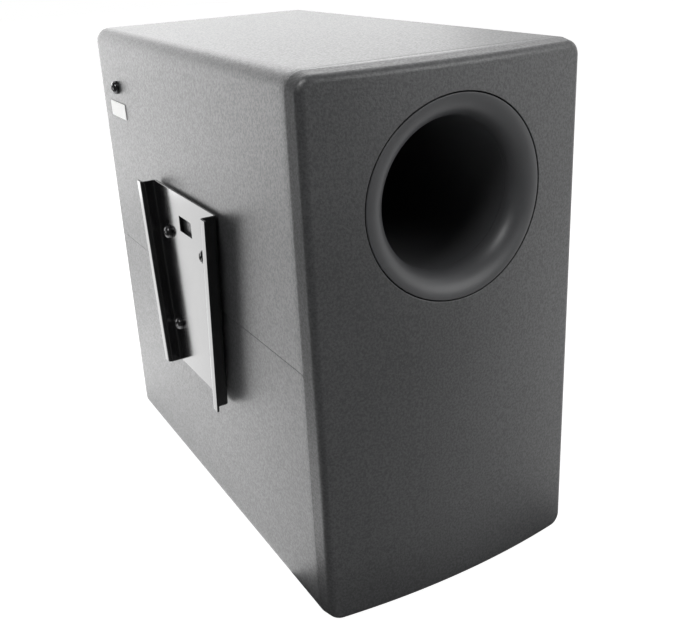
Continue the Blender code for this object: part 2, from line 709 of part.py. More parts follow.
def build_basket():
    """Stamped frame: flange, tapered wall with windows, spider ledge, foot and terminal pad."""
    foot_inside = BASKET_FOOT - BASKET_DEPTH
    ledge_bore = BASKET_FOOT_RADIUS - BASKET_FOOT
    foot_bore = COIL_RADIUS + BASKET_FOOT
    profile = [
        (FRAME_RADIUS, FLANGE_TOP),
        (FRAME_RADIUS, FLANGE_UNDERSIDE),
        (FLANGE_BORE + BASKET_WALL, FLANGE_UNDERSIDE),
        (BASKET_SHOULDER, -BASKET_SHOULDER_DEPTH),
        (BASKET_FOOT_RADIUS, -BASKET_TAPER_END),
        (BASKET_FOOT_RADIUS, -BASKET_DEPTH),
        (foot_bore, -BASKET_DEPTH),
        (foot_bore, foot_inside),
        (ledge_bore, foot_inside),
        (ledge_bore, -SPIDER_DEPTH),
        (SPIDER_SEAT, -SPIDER_DEPTH),
        (BASKET_SHOULDER - BASKET_WALL, -BASKET_SHOULDER_DEPTH),
        (FLANGE_BORE, FLANGE_UNDERSIDE),
        (FLANGE_BORE, FLANGE_TOP),
    ]
    part = turned_part("driver_basket", profile, DRIVER_STEPS, DRIVER, "black_steel")
    floor = BASKET_FOOT - SPIDER_DEPTH
    for index in range(WINDOW_PAIRS):
        name = f"basket_window_{index + 1}"
        reach = FRAME_RADIUS
        opening = block(
            name, (-reach, -WINDOW_SPAN / 2, floor), (reach, WINDOW_SPAN / 2, -WINDOW_TOP_DEPTH))
        turned_by = (0, 0, index * math.pi / WINDOW_PAIRS)
        apply_tool(part, add_tool(name, opening, DRIVER, rotation=turned_by))
    pad = block(
        "terminal_pad",
        (-PAD_WIDTH / 2, BASKET_FOOT_RADIUS - BASKET_FOOT / 2, FIT_GAP - BASKET_DEPTH),
        (PAD_WIDTH / 2, PAD_FACE, PAD_HEIGHT - BASKET_DEPTH))
    apply_tool(part, add_tool("terminal_pad", pad, DRIVER), "UNION")


def build_surround():
    """Half-roll edge between the flange and the cone's rim."""
    seat = FLANGE_TOP + FIT_GAP
    outer = ROLL_MIDDLE + ROLL_RADIUS + SURROUND_FLAT
    inner = CONE_FLAT
    crown = ROLL_RADIUS + SOFT_SKIN
    profile = [(outer, seat + SOFT_SKIN), (outer, seat)]
    profile += arc((ROLL_MIDDLE, seat), ROLL_RADIUS, 0, 180, ROLL_STEPS)
    profile += [(inner, seat), (inner, seat + SOFT_SKIN)]
    rise = math.degrees(math.asin(SOFT_SKIN / crown))
    profile += arc((ROLL_MIDDLE, seat), crown, 180 - rise, rise, ROLL_STEPS)
    turned_part("surround", profile, DRIVER_STEPS, DRIVER, "rubber")


def build_cone():
    """Cone, dust cap, coil former and winding, which move as one."""
    rim_top = FLANGE_TOP
    neck_end = -CONE_NECK_DEPTH - 2 * CONE_SKIN
    neck_top = -CONE_NECK_DEPTH + 3 * CONE_SKIN
    profile = [
        (CONE_RIM, rim_top),
        (CONE_RIM, rim_top - CONE_SKIN),
        (CONE_FLAT, rim_top - CONE_SKIN),
        (NECK_RADIUS + CONE_SKIN, neck_top - CONE_SKIN),
        (NECK_RADIUS + CONE_SKIN, neck_end),
        (NECK_RADIUS, neck_end),
        (NECK_RADIUS, neck_top),
        (CONE_FLAT, rim_top),
    ]
    turned_part("cone", profile, DRIVER_STEPS, CONE_SLIDE, "cone_paper")
    edge = between(CAP_RADIUS, (NECK_RADIUS, neck_top), (CONE_FLAT, rim_top)) + 2 * FIT_GAP
    dome = (CAP_RADIUS ** 2 + CAP_RISE ** 2) / (2 * CAP_RISE)
    centre = (0, edge + CAP_RISE - dome)
    spread = math.degrees(math.asin(CAP_RADIUS / dome))
    under = arc(centre, dome, 90 - spread, 90, ROLL_STEPS)
    top = [(radius, z + SOFT_SKIN) for radius, z in reversed(under)]
    cap = [(max(radius, 0), z) for radius, z in top + under]
    cap[0] = (0, cap[0][1])
    cap[-1] = (0, cap[-1][1])
    turned_part("dust_cap", cap, DRIVER_STEPS, CONE_SLIDE, "cone_paper")
    former = ring(FORMER_RADIUS, FORMER_RADIUS - FORMER_WALL, neck_top, COIL_BOTTOM)
    turned_part("coil_former", former, DRIVER_STEPS, CONE_SLIDE, "former_film")
    coil = ring(COIL_RADIUS, NECK_RADIUS, COIL_BOTTOM + COIL_LENGTH, COIL_BOTTOM)
    turned_part("voice_coil", coil, DRIVER_STEPS, CONE_SLIDE, "copper")


def build_spider():
    """Corrugated disc that centres the coil, from its collar to the basket's ledge."""
    ledge = BASKET_FOOT_RADIUS - BASKET_FOOT
    rolls_start = NECK_RADIUS + SPIDER_COLLAR
    seat = FIT_GAP - SPIDER_DEPTH

    def height(radius):
        share = min(max((radius - rolls_start) / (ledge - rolls_start), 0), 1)
        return seat + SPIDER_ROLL * (1 - math.cos(2 * math.pi * SPIDER_ROLLS * share)) / 2

    count = 4 * SPIDER_ROLLS
    radii = [rolls_start + (ledge - rolls_start) * index / count for index in range(count + 1)]
    radii = [NECK_RADIUS] + radii + [SPIDER_SEAT - 2 * FIT_GAP]
    under = [(radius, height(radius)) for radius in reversed(radii)]
    top = [(radius, z + SOFT_SKIN) for radius, z in reversed(under)]
    turned_part("spider", under + top, DRIVER_STEPS, DRIVER, "spider_cloth")


def build_motor():
    """Gasket, top plate, magnet and the vented pole piece."""
    gasket = ring(FRAME_RADIUS, DIVIDER_HOLE, FIT_GAP + GASKET, FIT_GAP)
    turned_part("driver_gasket", gasket, DRIVER_STEPS, DRIVER, "rubber")
    plate = ring(TOP_PLATE_RADIUS, COIL_RADIUS + AIR_GAP, PLATE_TOP, PLATE_TOP - TOP_PLATE)
    turned_part("top_plate", plate, DRIVER_STEPS, DRIVER, "zinc_steel")
    magnet = ring(MAGNET_RADIUS, MAGNET_BORE, MAGNET_TOP, MAGNET_TOP - MAGNET_HEIGHT)
    turned_part("magnet_ring", magnet, DRIVER_STEPS, DRIVER, "ferrite")
    pole_radius = FORMER_RADIUS - FORMER_WALL - POLE_CLEARANCE
    pole = [
        (pole_radius, PLATE_TOP),
        (pole_radius, BACK_TOP),
        (TOP_PLATE_RADIUS, BACK_TOP),
        (TOP_PLATE_RADIUS, BACK_TOP - BACK_PLATE),
        (VENT_RADIUS, BACK_TOP - BACK_PLATE),
        (VENT_RADIUS, PLATE_TOP),
    ]
    turned_part("pole_piece", pole, DRIVER_STEPS, DRIVER, "zinc_steel")


def build_terminal():
    """Two-tab terminal on the basket's pad."""
    half = PAD_WIDTH / 2
    tab = TAB_WIDTH / 2
    outline = [(half, TERMINAL_HEIGHT), (-half, TERMINAL_HEIGHT), (-half, 0)]
    for x in (-TAB_OFFSET, TAB_OFFSET):
        outline += [(x - tab, 0), (x - tab, -TAB_LENGTH), (x + tab, -TAB_LENGTH), (x + tab, 0)]
    outline.append((half, 0))
    mesh = slab("driver_terminal", [outline], TERMINAL_THICKNESS)
    place = (0, PAD_FACE + FIT_GAP + TERMINAL_THICKNESS / 2, TERMINAL_BOTTOM)
    add_part("driver_terminal", mesh, DRIVER, "gold_plate", place, TO_FRONT)


def smooth_route(knots):
    """Points on a smooth curve through the route's own points."""
    padded = [knots[0]] + knots + [knots[-1]]
    points = []
    for index in range(len(knots) - 1):
        before, start, end, after = padded[index:index + 4]
        for step in range(LEAD_SAMPLES):
            t = step / LEAD_SAMPLES
            points.append([
                0.5 * (2 * b + (c - a) * t + (2 * a - 5 * b + 4 * c - d) * t ** 2
                       + (3 * b - a - 3 * c + d) * t ** 3)
                for a, b, c, d in zip(before, start, end, after)])
    points.append(list(knots[-1]))
    return points


def build_leads():
    """Two leads from the terminal's tabs, sagging behind the magnet, to the circuit board."""
    y = DRIVER_SET_BACK + PAD_FACE + FIT_GAP + TERMINAL_THICKNESS / 2
    z = DIVIDER_TOP + TERMINAL_BOTTOM - TAB_LENGTH - FIT_GAP
    end_y = REAR_FACE + BOARD_INSIDE - FIT_GAP
    end_z = AMP_LEVEL + LEAD_LANDING
    leads = (
        ("speaker_lead_positive", TAB_OFFSET, "red_wire"),
        ("speaker_lead_negative", -TAB_OFFSET, "black_wire"),
    )
    for name, x, finish in leads:
        route = [
            (x, y, z),
            (x, y, z - LEAD_DROP),
            (x, y + LEAD_TURN_BACK, z - LEAD_TURN_DEPTH),
            (x, end_y - LEAD_RISE_START, end_z - LEAD_RISE),
            (x, end_y - LEAD_STUB, end_z),
            (x, end_y, end_z),
        ]
        curve = bpy.data.curves.new(name, "CURVE")
        curve.dimensions = "3D"
        curve.bevel_depth = LEAD_DIAMETER / 2
        curve.bevel_resolution = 2
        curve.use_fill_caps = True
        points = smooth_route(route)
        spline = curve.splines.new("POLY")
        spline.points.add(len(points) - 1)
        for point, place in zip(spline.points, points):
            point.co = (*place, 1)
        add_part(name, curve, CABINET, finish)


def build_driver():
    """Whole drive unit, hung through the divider with its magnet in the lower chamber."""
    build_motor()
    build_basket()
    build_surround()
    build_spider()
    build_cone()
    build_terminal()


# Amplifier

def knob_column(index):
    """Left to right place of a knob on the panel."""
    return CUTOUT_LEFT + KNOB_START + index * KNOB_PITCH


def build_panel():
    """Gasket and drilled panel over the opening in the back."""
    outline = rounded_rectangle(AMP_WIDTH, AMP_HEIGHT, AMP_CORNER, 3)
    gasket = slab("amp_gasket", [outline, rectangle(CUTOUT_WIDTH, CUTOUT_HEIGHT)], AMP_GASKET)
    add_part("amp_gasket", gasket, AMP, "rubber", (0, 0, FIT_GAP + AMP_GASKET / 2))
    holes = []
    for index in range(len(DIALS)):
        holes.append(circle((knob_column(index), KNOB_ROW), BUSH_RADIUS + FIT_GAP, SMALL_STEPS))
    for column in JACK_COLUMNS:
        holes.append(circle((CUTOUT_LEFT + column, JACK_ROW), JACK_RADIUS + FIT_GAP, SMALL_STEPS))
    lamp = (CUTOUT_LEFT + LAMP_COLUMN, SWITCH_ROW)
    holes.append(circle(lamp, LAMP_RADIUS + FIT_GAP, SMALL_STEPS))
    slot = (LEVER_LENGTH + LEVER_TRAVEL + 2 * SHAFT_GAP, LEVER_WIDTH + 2 * SHAFT_GAP)
    holes.append(rectangle(*slot, (CUTOUT_LEFT + SWITCH_COLUMN, SWITCH_ROW)))
    panel = slab("amp_panel", [outline] + holes, AMP_PANEL)
    add_part("amp_panel", panel, AMP, "black_aluminium", (0, 0, PANEL_BACK + AMP_PANEL / 2))


def build_heat_sink():
    """Finned extrusion on the panel's free half."""
    outline = comb(SINK_WIDTH, SINK_BASE, SINK_DEPTH, FIN, FIN_COUNT)
    mesh = slab("heat_sink", [outline], SINK_HEIGHT)
    add_part("heat_sink", mesh, AMP, "black_aluminium", (SINK_LEFT, 0, PANEL_SEAT), TO_FRONT)


def build_dials():
    """Three level controls, each a fixed body behind the panel and a knob on its shaft."""
    body = [
        (BUSH_RADIUS, PANEL_FACE),
        (BUSH_RADIUS, PANEL_BACK - FIT_GAP),
        (POT_RADIUS, PANEL_BACK - FIT_GAP),
        (POT_RADIUS, BOARD_FACE + FIT_GAP),
        (SHAFT_RADIUS + SHAFT_GAP, BOARD_FACE + FIT_GAP),
        (SHAFT_RADIUS + SHAFT_GAP, PANEL_FACE),
    ]
    top = PANEL_SEAT + KNOB_HEIGHT
    knob = [
        (0, top),
        (KNOB_RADIUS - KNOB_CHAMFER, top),
        (KNOB_RADIUS, top - KNOB_CHAMFER),
        (KNOB_RADIUS, PANEL_SEAT),
        (SHAFT_RADIUS, PANEL_SEAT),
        (SHAFT_RADIUS, PANEL_FACE - SHAFT_LENGTH),
        (0, PANEL_FACE - SHAFT_LENGTH),
    ]
    for index, dial in enumerate(DIALS):
        place = (knob_column(index), KNOB_ROW, 0)
        turned_part(f"{dial}_potentiometer", body, SMALL_STEPS, AMP, "zinc_steel", place)
        axis = make_datum(f"{dial}_axis", place, parent=AMP)
        part = turned_part(f"{dial}_knob", knob, SMALL_STEPS, axis, "moulded_black")
        groove = block(
            f"{dial}_pointer",
            (-POINTER_WIDTH / 2, KNOB_RADIUS / 3, top - POINTER_DEPTH),
            (POINTER_WIDTH / 2, 2 * KNOB_RADIUS, top + POINTER_DEPTH))
        apply_tool(part, add_tool(f"{dial}_pointer", groove, axis))


def build_switch():
    """Slide switch: a welled body behind the panel and a lever that starts at its left end."""
    place = (CUTOUT_LEFT + SWITCH_COLUMN, SWITCH_ROW, 0)
    half = (SWITCH_LENGTH / 2, SWITCH_HEIGHT / 2)
    body = block(
        "phase_switch_body",
        (-half[0], -half[1], BOARD_FACE + FIT_GAP), (*half, PANEL_BACK - FIT_GAP))
    part = add_part("phase_switch_body", body, AMP, "moulded_black", place)
    floor = PANEL_BACK - FIT_GAP - SWITCH_WELL
    room = ((LEVER_LENGTH + LEVER_TRAVEL) / 2 + SHAFT_GAP, LEVER_WIDTH / 2 + SHAFT_GAP)
    well = block("switch_well", (-room[0], -room[1], floor), (*room, PANEL_FACE))
    apply_tool(part, add_tool("switch_well", well, AMP, place))
    top = PANEL_FACE + LEVER_RISE
    foot = LEVER_LENGTH / 2
    tip = foot * 0.7
    outline = [(-foot, floor + FIT_GAP), (foot, floor + FIT_GAP), (foot, PANEL_FACE), (tip, top)]
    outline += [(tip / 2, top), (0, top - tip / 2), (-tip / 2, top), (-tip, top), (-foot, PANEL_FACE)]
    lever = slab("phase_switch_lever", [outline], LEVER_WIDTH)
    start = (place[0] - LEVER_TRAVEL / 2, SWITCH_ROW, 0)
    add_part("phase_switch_lever", lever, AMP, "moulded_black", start, TO_FRONT)


def build_fittings():
    """Lamp, signal jacks, power strip and fuse on the panel."""
    seat = BOARD_FACE + FIT_GAP
    shoulder = PANEL_BACK - FIT_GAP
    lamp = [
        (0, PANEL_FACE + LAMP_RISE),
        (LAMP_RADIUS * 0.7, PANEL_FACE + LAMP_RISE * 0.7),
        (LAMP_RADIUS, PANEL_FACE),
        (LAMP_RADIUS, shoulder),
        (LAMP_SHOULDER, shoulder),
        (LAMP_SHOULDER, seat),
        (0, seat),
    ]
    place = (CUTOUT_LEFT + LAMP_COLUMN, SWITCH_ROW, 0)
    turned_part("power_lamp", lamp, SMALL_STEPS, AMP, "clear_lens", place)
    tip = PANEL_FACE + JACK_RISE
    jack = [
        (JACK_RADIUS, tip),
        (JACK_RADIUS, shoulder),
        (JACK_SHOULDER, shoulder),
        (JACK_SHOULDER, seat),
        (0, seat),
        (0, tip - JACK_BORE_DEPTH),
        (JACK_BORE, tip - JACK_BORE_DEPTH),
        (JACK_BORE, tip),
    ]
    jack = jack[5:] + jack[:5]
    for side, column in zip(("left", "right"), JACK_COLUMNS):
        place = (CUTOUT_LEFT + column, JACK_ROW, 0)
        turned_part(f"input_jack_{side}", jack, SMALL_STEPS, AMP, "gold_plate", place)
    strip = slab("terminal_block", [comb(STRIP_LENGTH, STRIP_BASE, STRIP_RISE, BARRIER, BARRIER_COUNT)],
                 STRIP_WIDTH)
    place = (CUTOUT_LEFT + TERMINAL_COLUMN - STRIP_LENGTH / 2, TERMINAL_ROW, PANEL_SEAT)
    add_part("terminal_block", strip, AMP, "moulded_black", place, TO_FRONT)
    build_fuse()


def build_fuse():
    """Blade fuse in its slotted holder."""
    place = (CUTOUT_LEFT + FUSE_COLUMN, TERMINAL_ROW, 0)
    rim = PANEL_SEAT + FUSE_HOLDER_RISE
    half = (FUSE_HOLDER_LENGTH / 2, FUSE_HOLDER_WIDTH / 2)
    holder = block("fuse_socket", (-half[0], -half[1], PANEL_SEAT), (*half, rim))
    part = add_part("fuse_socket", holder, AMP, "moulded_black", place)
    slot_half = (FUSE_BODY_LENGTH / 2 + FIT_GAP, FUSE_THICKNESS / 2 + FIT_GAP)
    foot = rim - FUSE_SINK
    slot = block(
        "fuse_slot", (-slot_half[0], -slot_half[1], foot - FIT_GAP), (*slot_half, rim + FUSE_SINK))
    apply_tool(part, add_tool("fuse_slot", slot, AMP, place))
    body = FUSE_BODY_LENGTH / 2
    head = FUSE_HEAD_LENGTH / 2
    low = rim + FIT_GAP
    outline = [(-body, foot), (body, foot), (body, low), (head, low), (head, low + FUSE_HEAD_RISE)]
    outline += [(-head, low + FUSE_HEAD_RISE), (-head, low), (-body, low)]
    fuse = slab("fuse", [outline], FUSE_THICKNESS)
    add_part("fuse", fuse, AMP, "amber_plastic", place, TO_FRONT)


def build_board():
    """Circuit board behind the controls, with its reservoir cans and choke."""
    middle = BOARD_INSIDE + BOARD / 2
    board = slab("circuit_board", [rectangle(BOARD_WIDTH, BOARD_HEIGHT)], BOARD)
    add_part("circuit_board", board, AMP, "green_board", (0, 0, middle))
    top = BOARD_INSIDE - FIT_GAP
    can = [
        (0, top),
        (CAN_RADIUS, top),
        (CAN_RADIUS, top - 2 * CAN_GROOVE),
        (CAN_RADIUS - CAN_GROOVE, top - 3 * CAN_GROOVE),
        (CAN_RADIUS, top - 4 * CAN_GROOVE),
        (CAN_RADIUS, top - CAN_LENGTH),
        (0, top - CAN_LENGTH),
    ]
    for side, column in zip(("left", "right"), CAN_COLUMNS):
        place = (BOARD_WIDTH / 2 - column, CAN_ROW, 0)
        turned_part(f"capacitor_{side}", can, SMALL_STEPS, AMP, "blue_sleeve", place)
    coil = [(CHOKE_RADIUS + x, y) for x, y in reversed(circle((0, 0), CHOKE_THICKNESS, 8))]
    place = (CHOKE_COLUMN - BOARD_WIDTH / 2, 0, top - CHOKE_THICKNESS)
    turned_part("toroid_choke", coil, SMALL_STEPS, AMP, "copper", place)


def build_amplifier():
    """Everything that comes away with the panel."""
    build_panel()
    build_heat_sink()
    build_dials()
    build_switch()
    build_fittings()
    build_board()


# Bracket side

def bracket_section(width):
    """Half-open hat section across the bracket: lip, wall, plate, wall, lip."""
    plate = BRACKET_STANDOFF + SHEET / 2
    lip = BRACKET_REACH - SHEET / 2
    half = width / 2
    tip = half + LIP_WIDTH
    return [(-tip, lip), (-half, lip), (-half, plate), (half, plate), (half, lip), (tip, lip)]


def build_bracket():
    """Tapered slide-in bracket folded from one sheet, on four raised bosses."""
    work = bmesh.new()
    low = -BRACKET_HEIGHT / 2
    bottom = [work.verts.new((low, y, z)) for y, z in bracket_section(BRACKET_BOTTOM_WIDTH)]
    edges = [work.edges.new(pair) for pair in zip(bottom, bottom[1:])]
    raised = bmesh.ops.extrude_edge_only(work, edges=edges)["geom"]
    top = [item for item in raised if isinstance(item, bmesh.types.BMVert)]
    widen = (BRACKET_TOP_WIDTH - BRACKET_BOTTOM_WIDTH) / 2
    for vert in top:
        vert.co.x += BRACKET_HEIGHT
        vert.co.y += math.copysign(widen, vert.co.y)
    bends = [edge for edge in work.edges if len(edge.link_faces) == 2]
    bmesh.ops.bevel(
        work, geom=bends, offset=BEND_RADIUS, segments=BEND_STEPS, profile=0.5, affect="EDGES")
    bmesh.ops.recalc_face_normals(work, faces=work.faces)
    mesh = bpy.data.meshes.new("mount_bracket")
    work.to_mesh(mesh)
    work.free()
    part = add_part("mount_bracket", mesh, BRACKET, "black_steel")
    sheet = part.modifiers.new("sheet", "SOLIDIFY")
    sheet.thickness = SHEET
    sheet.offset = 0
    sheet.use_even_offset = True
    boss = rod("bracket_boss", BOSS_RADIUS, FIT_GAP, BRACKET_STANDOFF + SHEET / 2, SMALL_STEPS)
    hole = rod("bracket_hole", SCREW_RADIUS + FIT_GAP, -SHEET, 2 * PLATE_FACE, SMALL_STEPS)
    for index, (up, along) in enumerate(screw_places()):
        place = (up, along, 0)
        apply_tool(part, add_tool(f"bracket_boss_{index + 1}", boss, BRACKET, place), "UNION")
        apply_tool(part, add_tool(f"bracket_hole_{index + 1}", hole, BRACKET, place))
    window = slab("bracket_window", [rectangle(WINDOW_HEIGHT, WINDOW_LENGTH)], 4 * BRACKET_REACH)
    apply_tool(part, add_tool("bracket_window", window, BRACKET, (WINDOW_RISE, 0, 0)))


def screw_places():
    """Four bracket screws: height and place along the side, from the bracket's middle."""
    places = []
    for up in (SCREW_SPREAD_UP, -SCREW_SPREAD_UP):
        for along in (-SCREW_SPREAD_ALONG, SCREW_SPREAD_ALONG):
            places.append((up, along))
    return places


def screw_profile(head_radius, head_height, seat):
    """Pan-head screw: its seat is the face under the head, its shank goes into the wall."""
    crown = seat + head_height
    return [
        (0, crown),
        (head_radius * 0.6, crown - head_height * 0.12),
        (head_radius * 0.9, crown - head_height * 0.42),
        (head_radius, seat + head_height * 0.2),
        (head_radius, seat),
        (SCREW_RADIUS, seat),
        (SCREW_RADIUS, -SCREW_GRIP),
        (0, -SCREW_GRIP - SCREW_RADIUS / 2),
    ]


def drill(shell, name, datum, place):
    """Blind screw hole in a shell's wall."""
    depth = SCREW_GRIP + SCREW_RADIUS
    hole = rod(name, SCREW_RADIUS + FIT_GAP, -depth, depth, SCREW_STEPS)
    apply_tool(shell, add_tool(name, hole, datum, place))


def build_side_fittings(upper_shell, lower_shell):
    """Bracket screws, anchor screw and bare label, with their holes in the wrap."""
    profile = screw_profile(SCREW_HEAD_RADIUS, SCREW_HEAD_HEIGHT, PLATE_FACE + FIT_GAP)
    for index, (up, along) in enumerate(screw_places()):
        place = (up, along, 0)
        shell = upper_shell if up > 0 else lower_shell
        drill(shell, f"screw_hole_{index + 1}", BRACKET, place)
        turned_part(
            f"bracket_screw_{index + 1}", profile, SCREW_STEPS, BRACKET, "bright_steel", place)
    anchor = make_datum(
        "anchor_datum",
        (-HALF_WIDTH, CABINET_DEPTH - ANCHOR_FROM_BACK, CABINET_HEIGHT - ANCHOR_FROM_TOP),
        TO_BRACKET_SIDE, CABINET)
    drill(upper_shell, "anchor_hole", anchor, (0, 0, 0))
    profile = screw_profile(ANCHOR_HEAD_RADIUS, ANCHOR_HEAD_HEIGHT, FIT_GAP)
    turned_part("anchor_screw", profile, SCREW_STEPS, anchor, "dark_steel")
    label = slab("blank_label", [rectangle(LABEL_HEIGHT, LABEL_LENGTH)], LABEL_THICKNESS)
    place = (
        -HALF_WIDTH - FIT_GAP - LABEL_THICKNESS / 2,
        CABINET_DEPTH - LABEL_FROM_BACK,
        CABINET_HEIGHT - LABEL_FROM_TOP)
    add_part("blank_label", label, CABINET, "white_label", place, TO_BRACKET_SIDE)


# Assembly

DIALS = ("gain", "crossover", "boost")

clear_scene()
PARTS = make_collection("bass_cabinet")
CUTTERS = make_collection("bass_cabinet_cutters")
CABINET = make_datum(
    "cabinet_datum", (BRACKET_REACH / 2, (FRONT_BOW - CABINET_DEPTH) / 2, FOOT_HEIGHT))
PORT = make_datum("port_datum", (0, 0, PORT_LEVEL), TO_BACK, CABINET)
DRIVER = make_datum("driver_datum", (0, DRIVER_SET_BACK, DIVIDER_TOP), parent=CABINET)
CONE_SLIDE = make_datum("cone_slide", (0, 0, 0), parent=DRIVER)
AMP = make_datum("amp_datum", (0, REAR_FACE, AMP_LEVEL), FROM_BEHIND, CABINET)
BRACKET = make_datum(
    "bracket_datum", (-HALF_WIDTH, BRACKET_SET_BACK, LOWER_HEIGHT), TO_BRACKET_SIDE, CABINET)

UPPER, LOWER = build_shells()
build_baffle()
build_boards()
build_feet()
build_port()
build_driver()
build_leads()
build_amplifier()
build_bracket()
build_side_fittings(UPPER, LOWER)
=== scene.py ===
"""Looks of a compact ported bass cabinet: its surfaces, finishes, stage and camera.

Metres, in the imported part's own frame: X across with the hanging bracket on the -X side, Y from the
front to the back, Z up from the surface that the feet stand on.
"""

import logging
import math
from dataclasses import dataclass
from enum import Enum

import bmesh
import bpy
import numpy as np
from mathutils import Matrix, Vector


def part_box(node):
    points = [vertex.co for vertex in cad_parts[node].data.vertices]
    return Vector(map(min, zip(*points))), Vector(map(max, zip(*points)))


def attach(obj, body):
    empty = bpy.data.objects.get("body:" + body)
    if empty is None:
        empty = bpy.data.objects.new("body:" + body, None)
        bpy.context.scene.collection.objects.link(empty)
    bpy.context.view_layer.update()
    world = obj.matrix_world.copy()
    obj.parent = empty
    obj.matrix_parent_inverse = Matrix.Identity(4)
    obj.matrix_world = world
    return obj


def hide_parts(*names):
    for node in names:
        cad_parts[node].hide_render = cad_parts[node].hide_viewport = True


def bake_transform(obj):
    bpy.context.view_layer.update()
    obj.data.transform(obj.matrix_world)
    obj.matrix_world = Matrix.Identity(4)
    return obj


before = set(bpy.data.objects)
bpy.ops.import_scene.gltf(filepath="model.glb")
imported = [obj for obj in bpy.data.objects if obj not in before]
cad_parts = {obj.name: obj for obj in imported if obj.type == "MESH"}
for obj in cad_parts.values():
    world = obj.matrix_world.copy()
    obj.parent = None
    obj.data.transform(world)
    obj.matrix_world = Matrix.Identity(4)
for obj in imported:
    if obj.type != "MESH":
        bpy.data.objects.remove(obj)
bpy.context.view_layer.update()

LOG = logging.getLogger("bass_cabinet")
FIT_GAP = 0.0003                # between pieces that touch
MERGE = 1e-7                    # points closer than this are one
NODE_MERGE = 1e-6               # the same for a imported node's points
NODE_FLAT = 1.0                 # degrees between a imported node's triangles that count as flat
WHITE = (1.0, 1.0, 1.0)
BLACK = (0.0, 0.0, 0.0)

Array = np.ndarray
Pair = tuple[float, float]
Triple = tuple[float, float, float]
Piece = bpy.types.Object


# Points of curves and surfaces

def arc(centre: Pair, radius: float, start: float, end: float, steps: int) -> Array:
    """Points of an arc, steps + 1: centre plus radius times (cos, sin) of even angles in degrees."""
    angle = np.radians(np.linspace(start, end, steps + 1))
    return np.array(centre) + radius * np.stack([np.cos(angle), np.sin(angle)], axis=1)


def spread_to_ends(count: int) -> Array:
    """Shares from 0 to 1 that crowd towards both ends: half of one minus the cosine of an even angle."""
    return (1 - np.cos(np.linspace(0, math.pi, count))) / 2


def smooth_rise(value: Array, low: float, high: float) -> Array:
    """Smooth step from 0 below low to 1 above high: t squared times (3 - 2 t)."""
    share = np.clip((value - low) / (high - low), 0, 1)
    return share * share * (3 - 2 * share)


def turned(profile: Array, steps: int) -> Array:
    """Surface of revolution about Z: (r cos a, r sin a, h) for each profile point (r, h) and angle a.

    Args:
        profile: array of points (radius, height).
        steps: number of angles in a full turn.

    Returns:
        Grid of points, one row for each profile point.
    """
    angle = np.arange(steps) * 2 * math.pi / steps
    radius = profile[:, :1]
    height = np.broadcast_to(profile[:, 1:2], (len(profile), steps))
    return np.stack([radius * np.cos(angle), radius * np.sin(angle), height], axis=-1)


def rounded_outline(
        low: Array, high: Array, radii: tuple[float, ...], side: int, corner: int,
        focus: Array | None = None) -> tuple[Array, Array]:
    """Outline of a rectangle with round corners, anticlockwise from its right side.

    Each corner is a quarter circle. The points of a straight side stand at even angles as seen from
    the focus or, without one, crowd towards the side's ends.

    Args:
        low: lowest corner in the outline's plane.
        high: highest corner in the outline's plane.
        radii: corner radii, from the upper right one onwards.
        side: stretches along each straight side.
        corner: stretches round each corner.
        focus: point inside the outline that the sides' points are spread about.

    Returns:
        The points, and the inward normal at each of them.
    """
    signs = np.array([(1, 1), (-1, 1), (-1, -1), (1, -1)], float)
    pivots = (low + high) / 2 + signs * ((high - low) / 2 - np.array(radii)[:, None])
    points, normals = [], []
    for turn, pivot in enumerate(pivots):
        out = arc((0, 0), 1.0, 90 * turn, 90 * turn + 90, corner)
        points.append(pivot + radii[turn] * out)
        normals.append(-out)
        start = points[-1][-1]
        end = pivots[(turn + 1) % 4] + radii[(turn + 1) % 4] * out[-1]
        if focus is None:
            along = start + spread_to_ends(side + 1)[1:-1, None] * (end - start)
        else:
            first, last = np.arctan2(*(np.array([start, end]) - focus).T[::-1])
            angle = first + np.linspace(0, (last - first) % (2 * math.pi), side + 1)[1:-1]
            ray = np.stack([np.cos(angle), np.sin(angle)], axis=1)
            along = focus + ray * ((start - focus) @ out[-1] / (ray @ out[-1]))[:, None]
        points.append(along)
        normals.append(np.broadcast_to(-out[-1], along.shape))
    return np.concatenate(points), np.concatenate(normals)


class Facing(Enum):
    """Way that a piece's own Z points: the part's directions of its own X, Y and Z."""

    UP = ((1, 0, 0), (0, 1, 0), (0, 0, 1))
    DOWN = ((1, 0, 0), (0, -1, 0), (0, 0, -1))
    INWARD = ((1, 0, 0), (0, 0, -1), (0, 1, 0))
    BACK = ((-1, 0, 0), (0, 0, 1), (0, 1, 0))
    BRACKET_SIDE = ((0, -1, 0), (0, 0, 1), (-1, 0, 0))

    def place(self, points: Array, origin: Array | Triple) -> Array:
        """Points carried from a piece's own frame to the part's."""
        return points @ np.array(self.value, float) + np.asarray(origin, float)


@dataclass(frozen=True)
class Box:
    """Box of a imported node, by its lowest and its highest corner."""

    low: Array
    high: Array

    @classmethod
    def of(cls, node: str) -> "Box":
        """Box of one node, from the frame."""
        return cls(*(np.array(corner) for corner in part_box(node)))

    @property
    def centre(self) -> Array:
        """Middle of the box."""
        return (self.low + self.high) / 2

    @property
    def half(self) -> Array:
        """Half of the box's lengths."""
        return (self.high - self.low) / 2


# Pieces

def add_object(name: str, data: bpy.types.ID) -> Piece:
    """Put an object of a mesh, lamp or camera in the scene.

    Args:
        name: the object's name.
        data: what it shows.

    Returns:
        The new object, at the origin.
    """
    item = bpy.data.objects.new(name, data)
    bpy.context.scene.collection.objects.link(item)
    return item


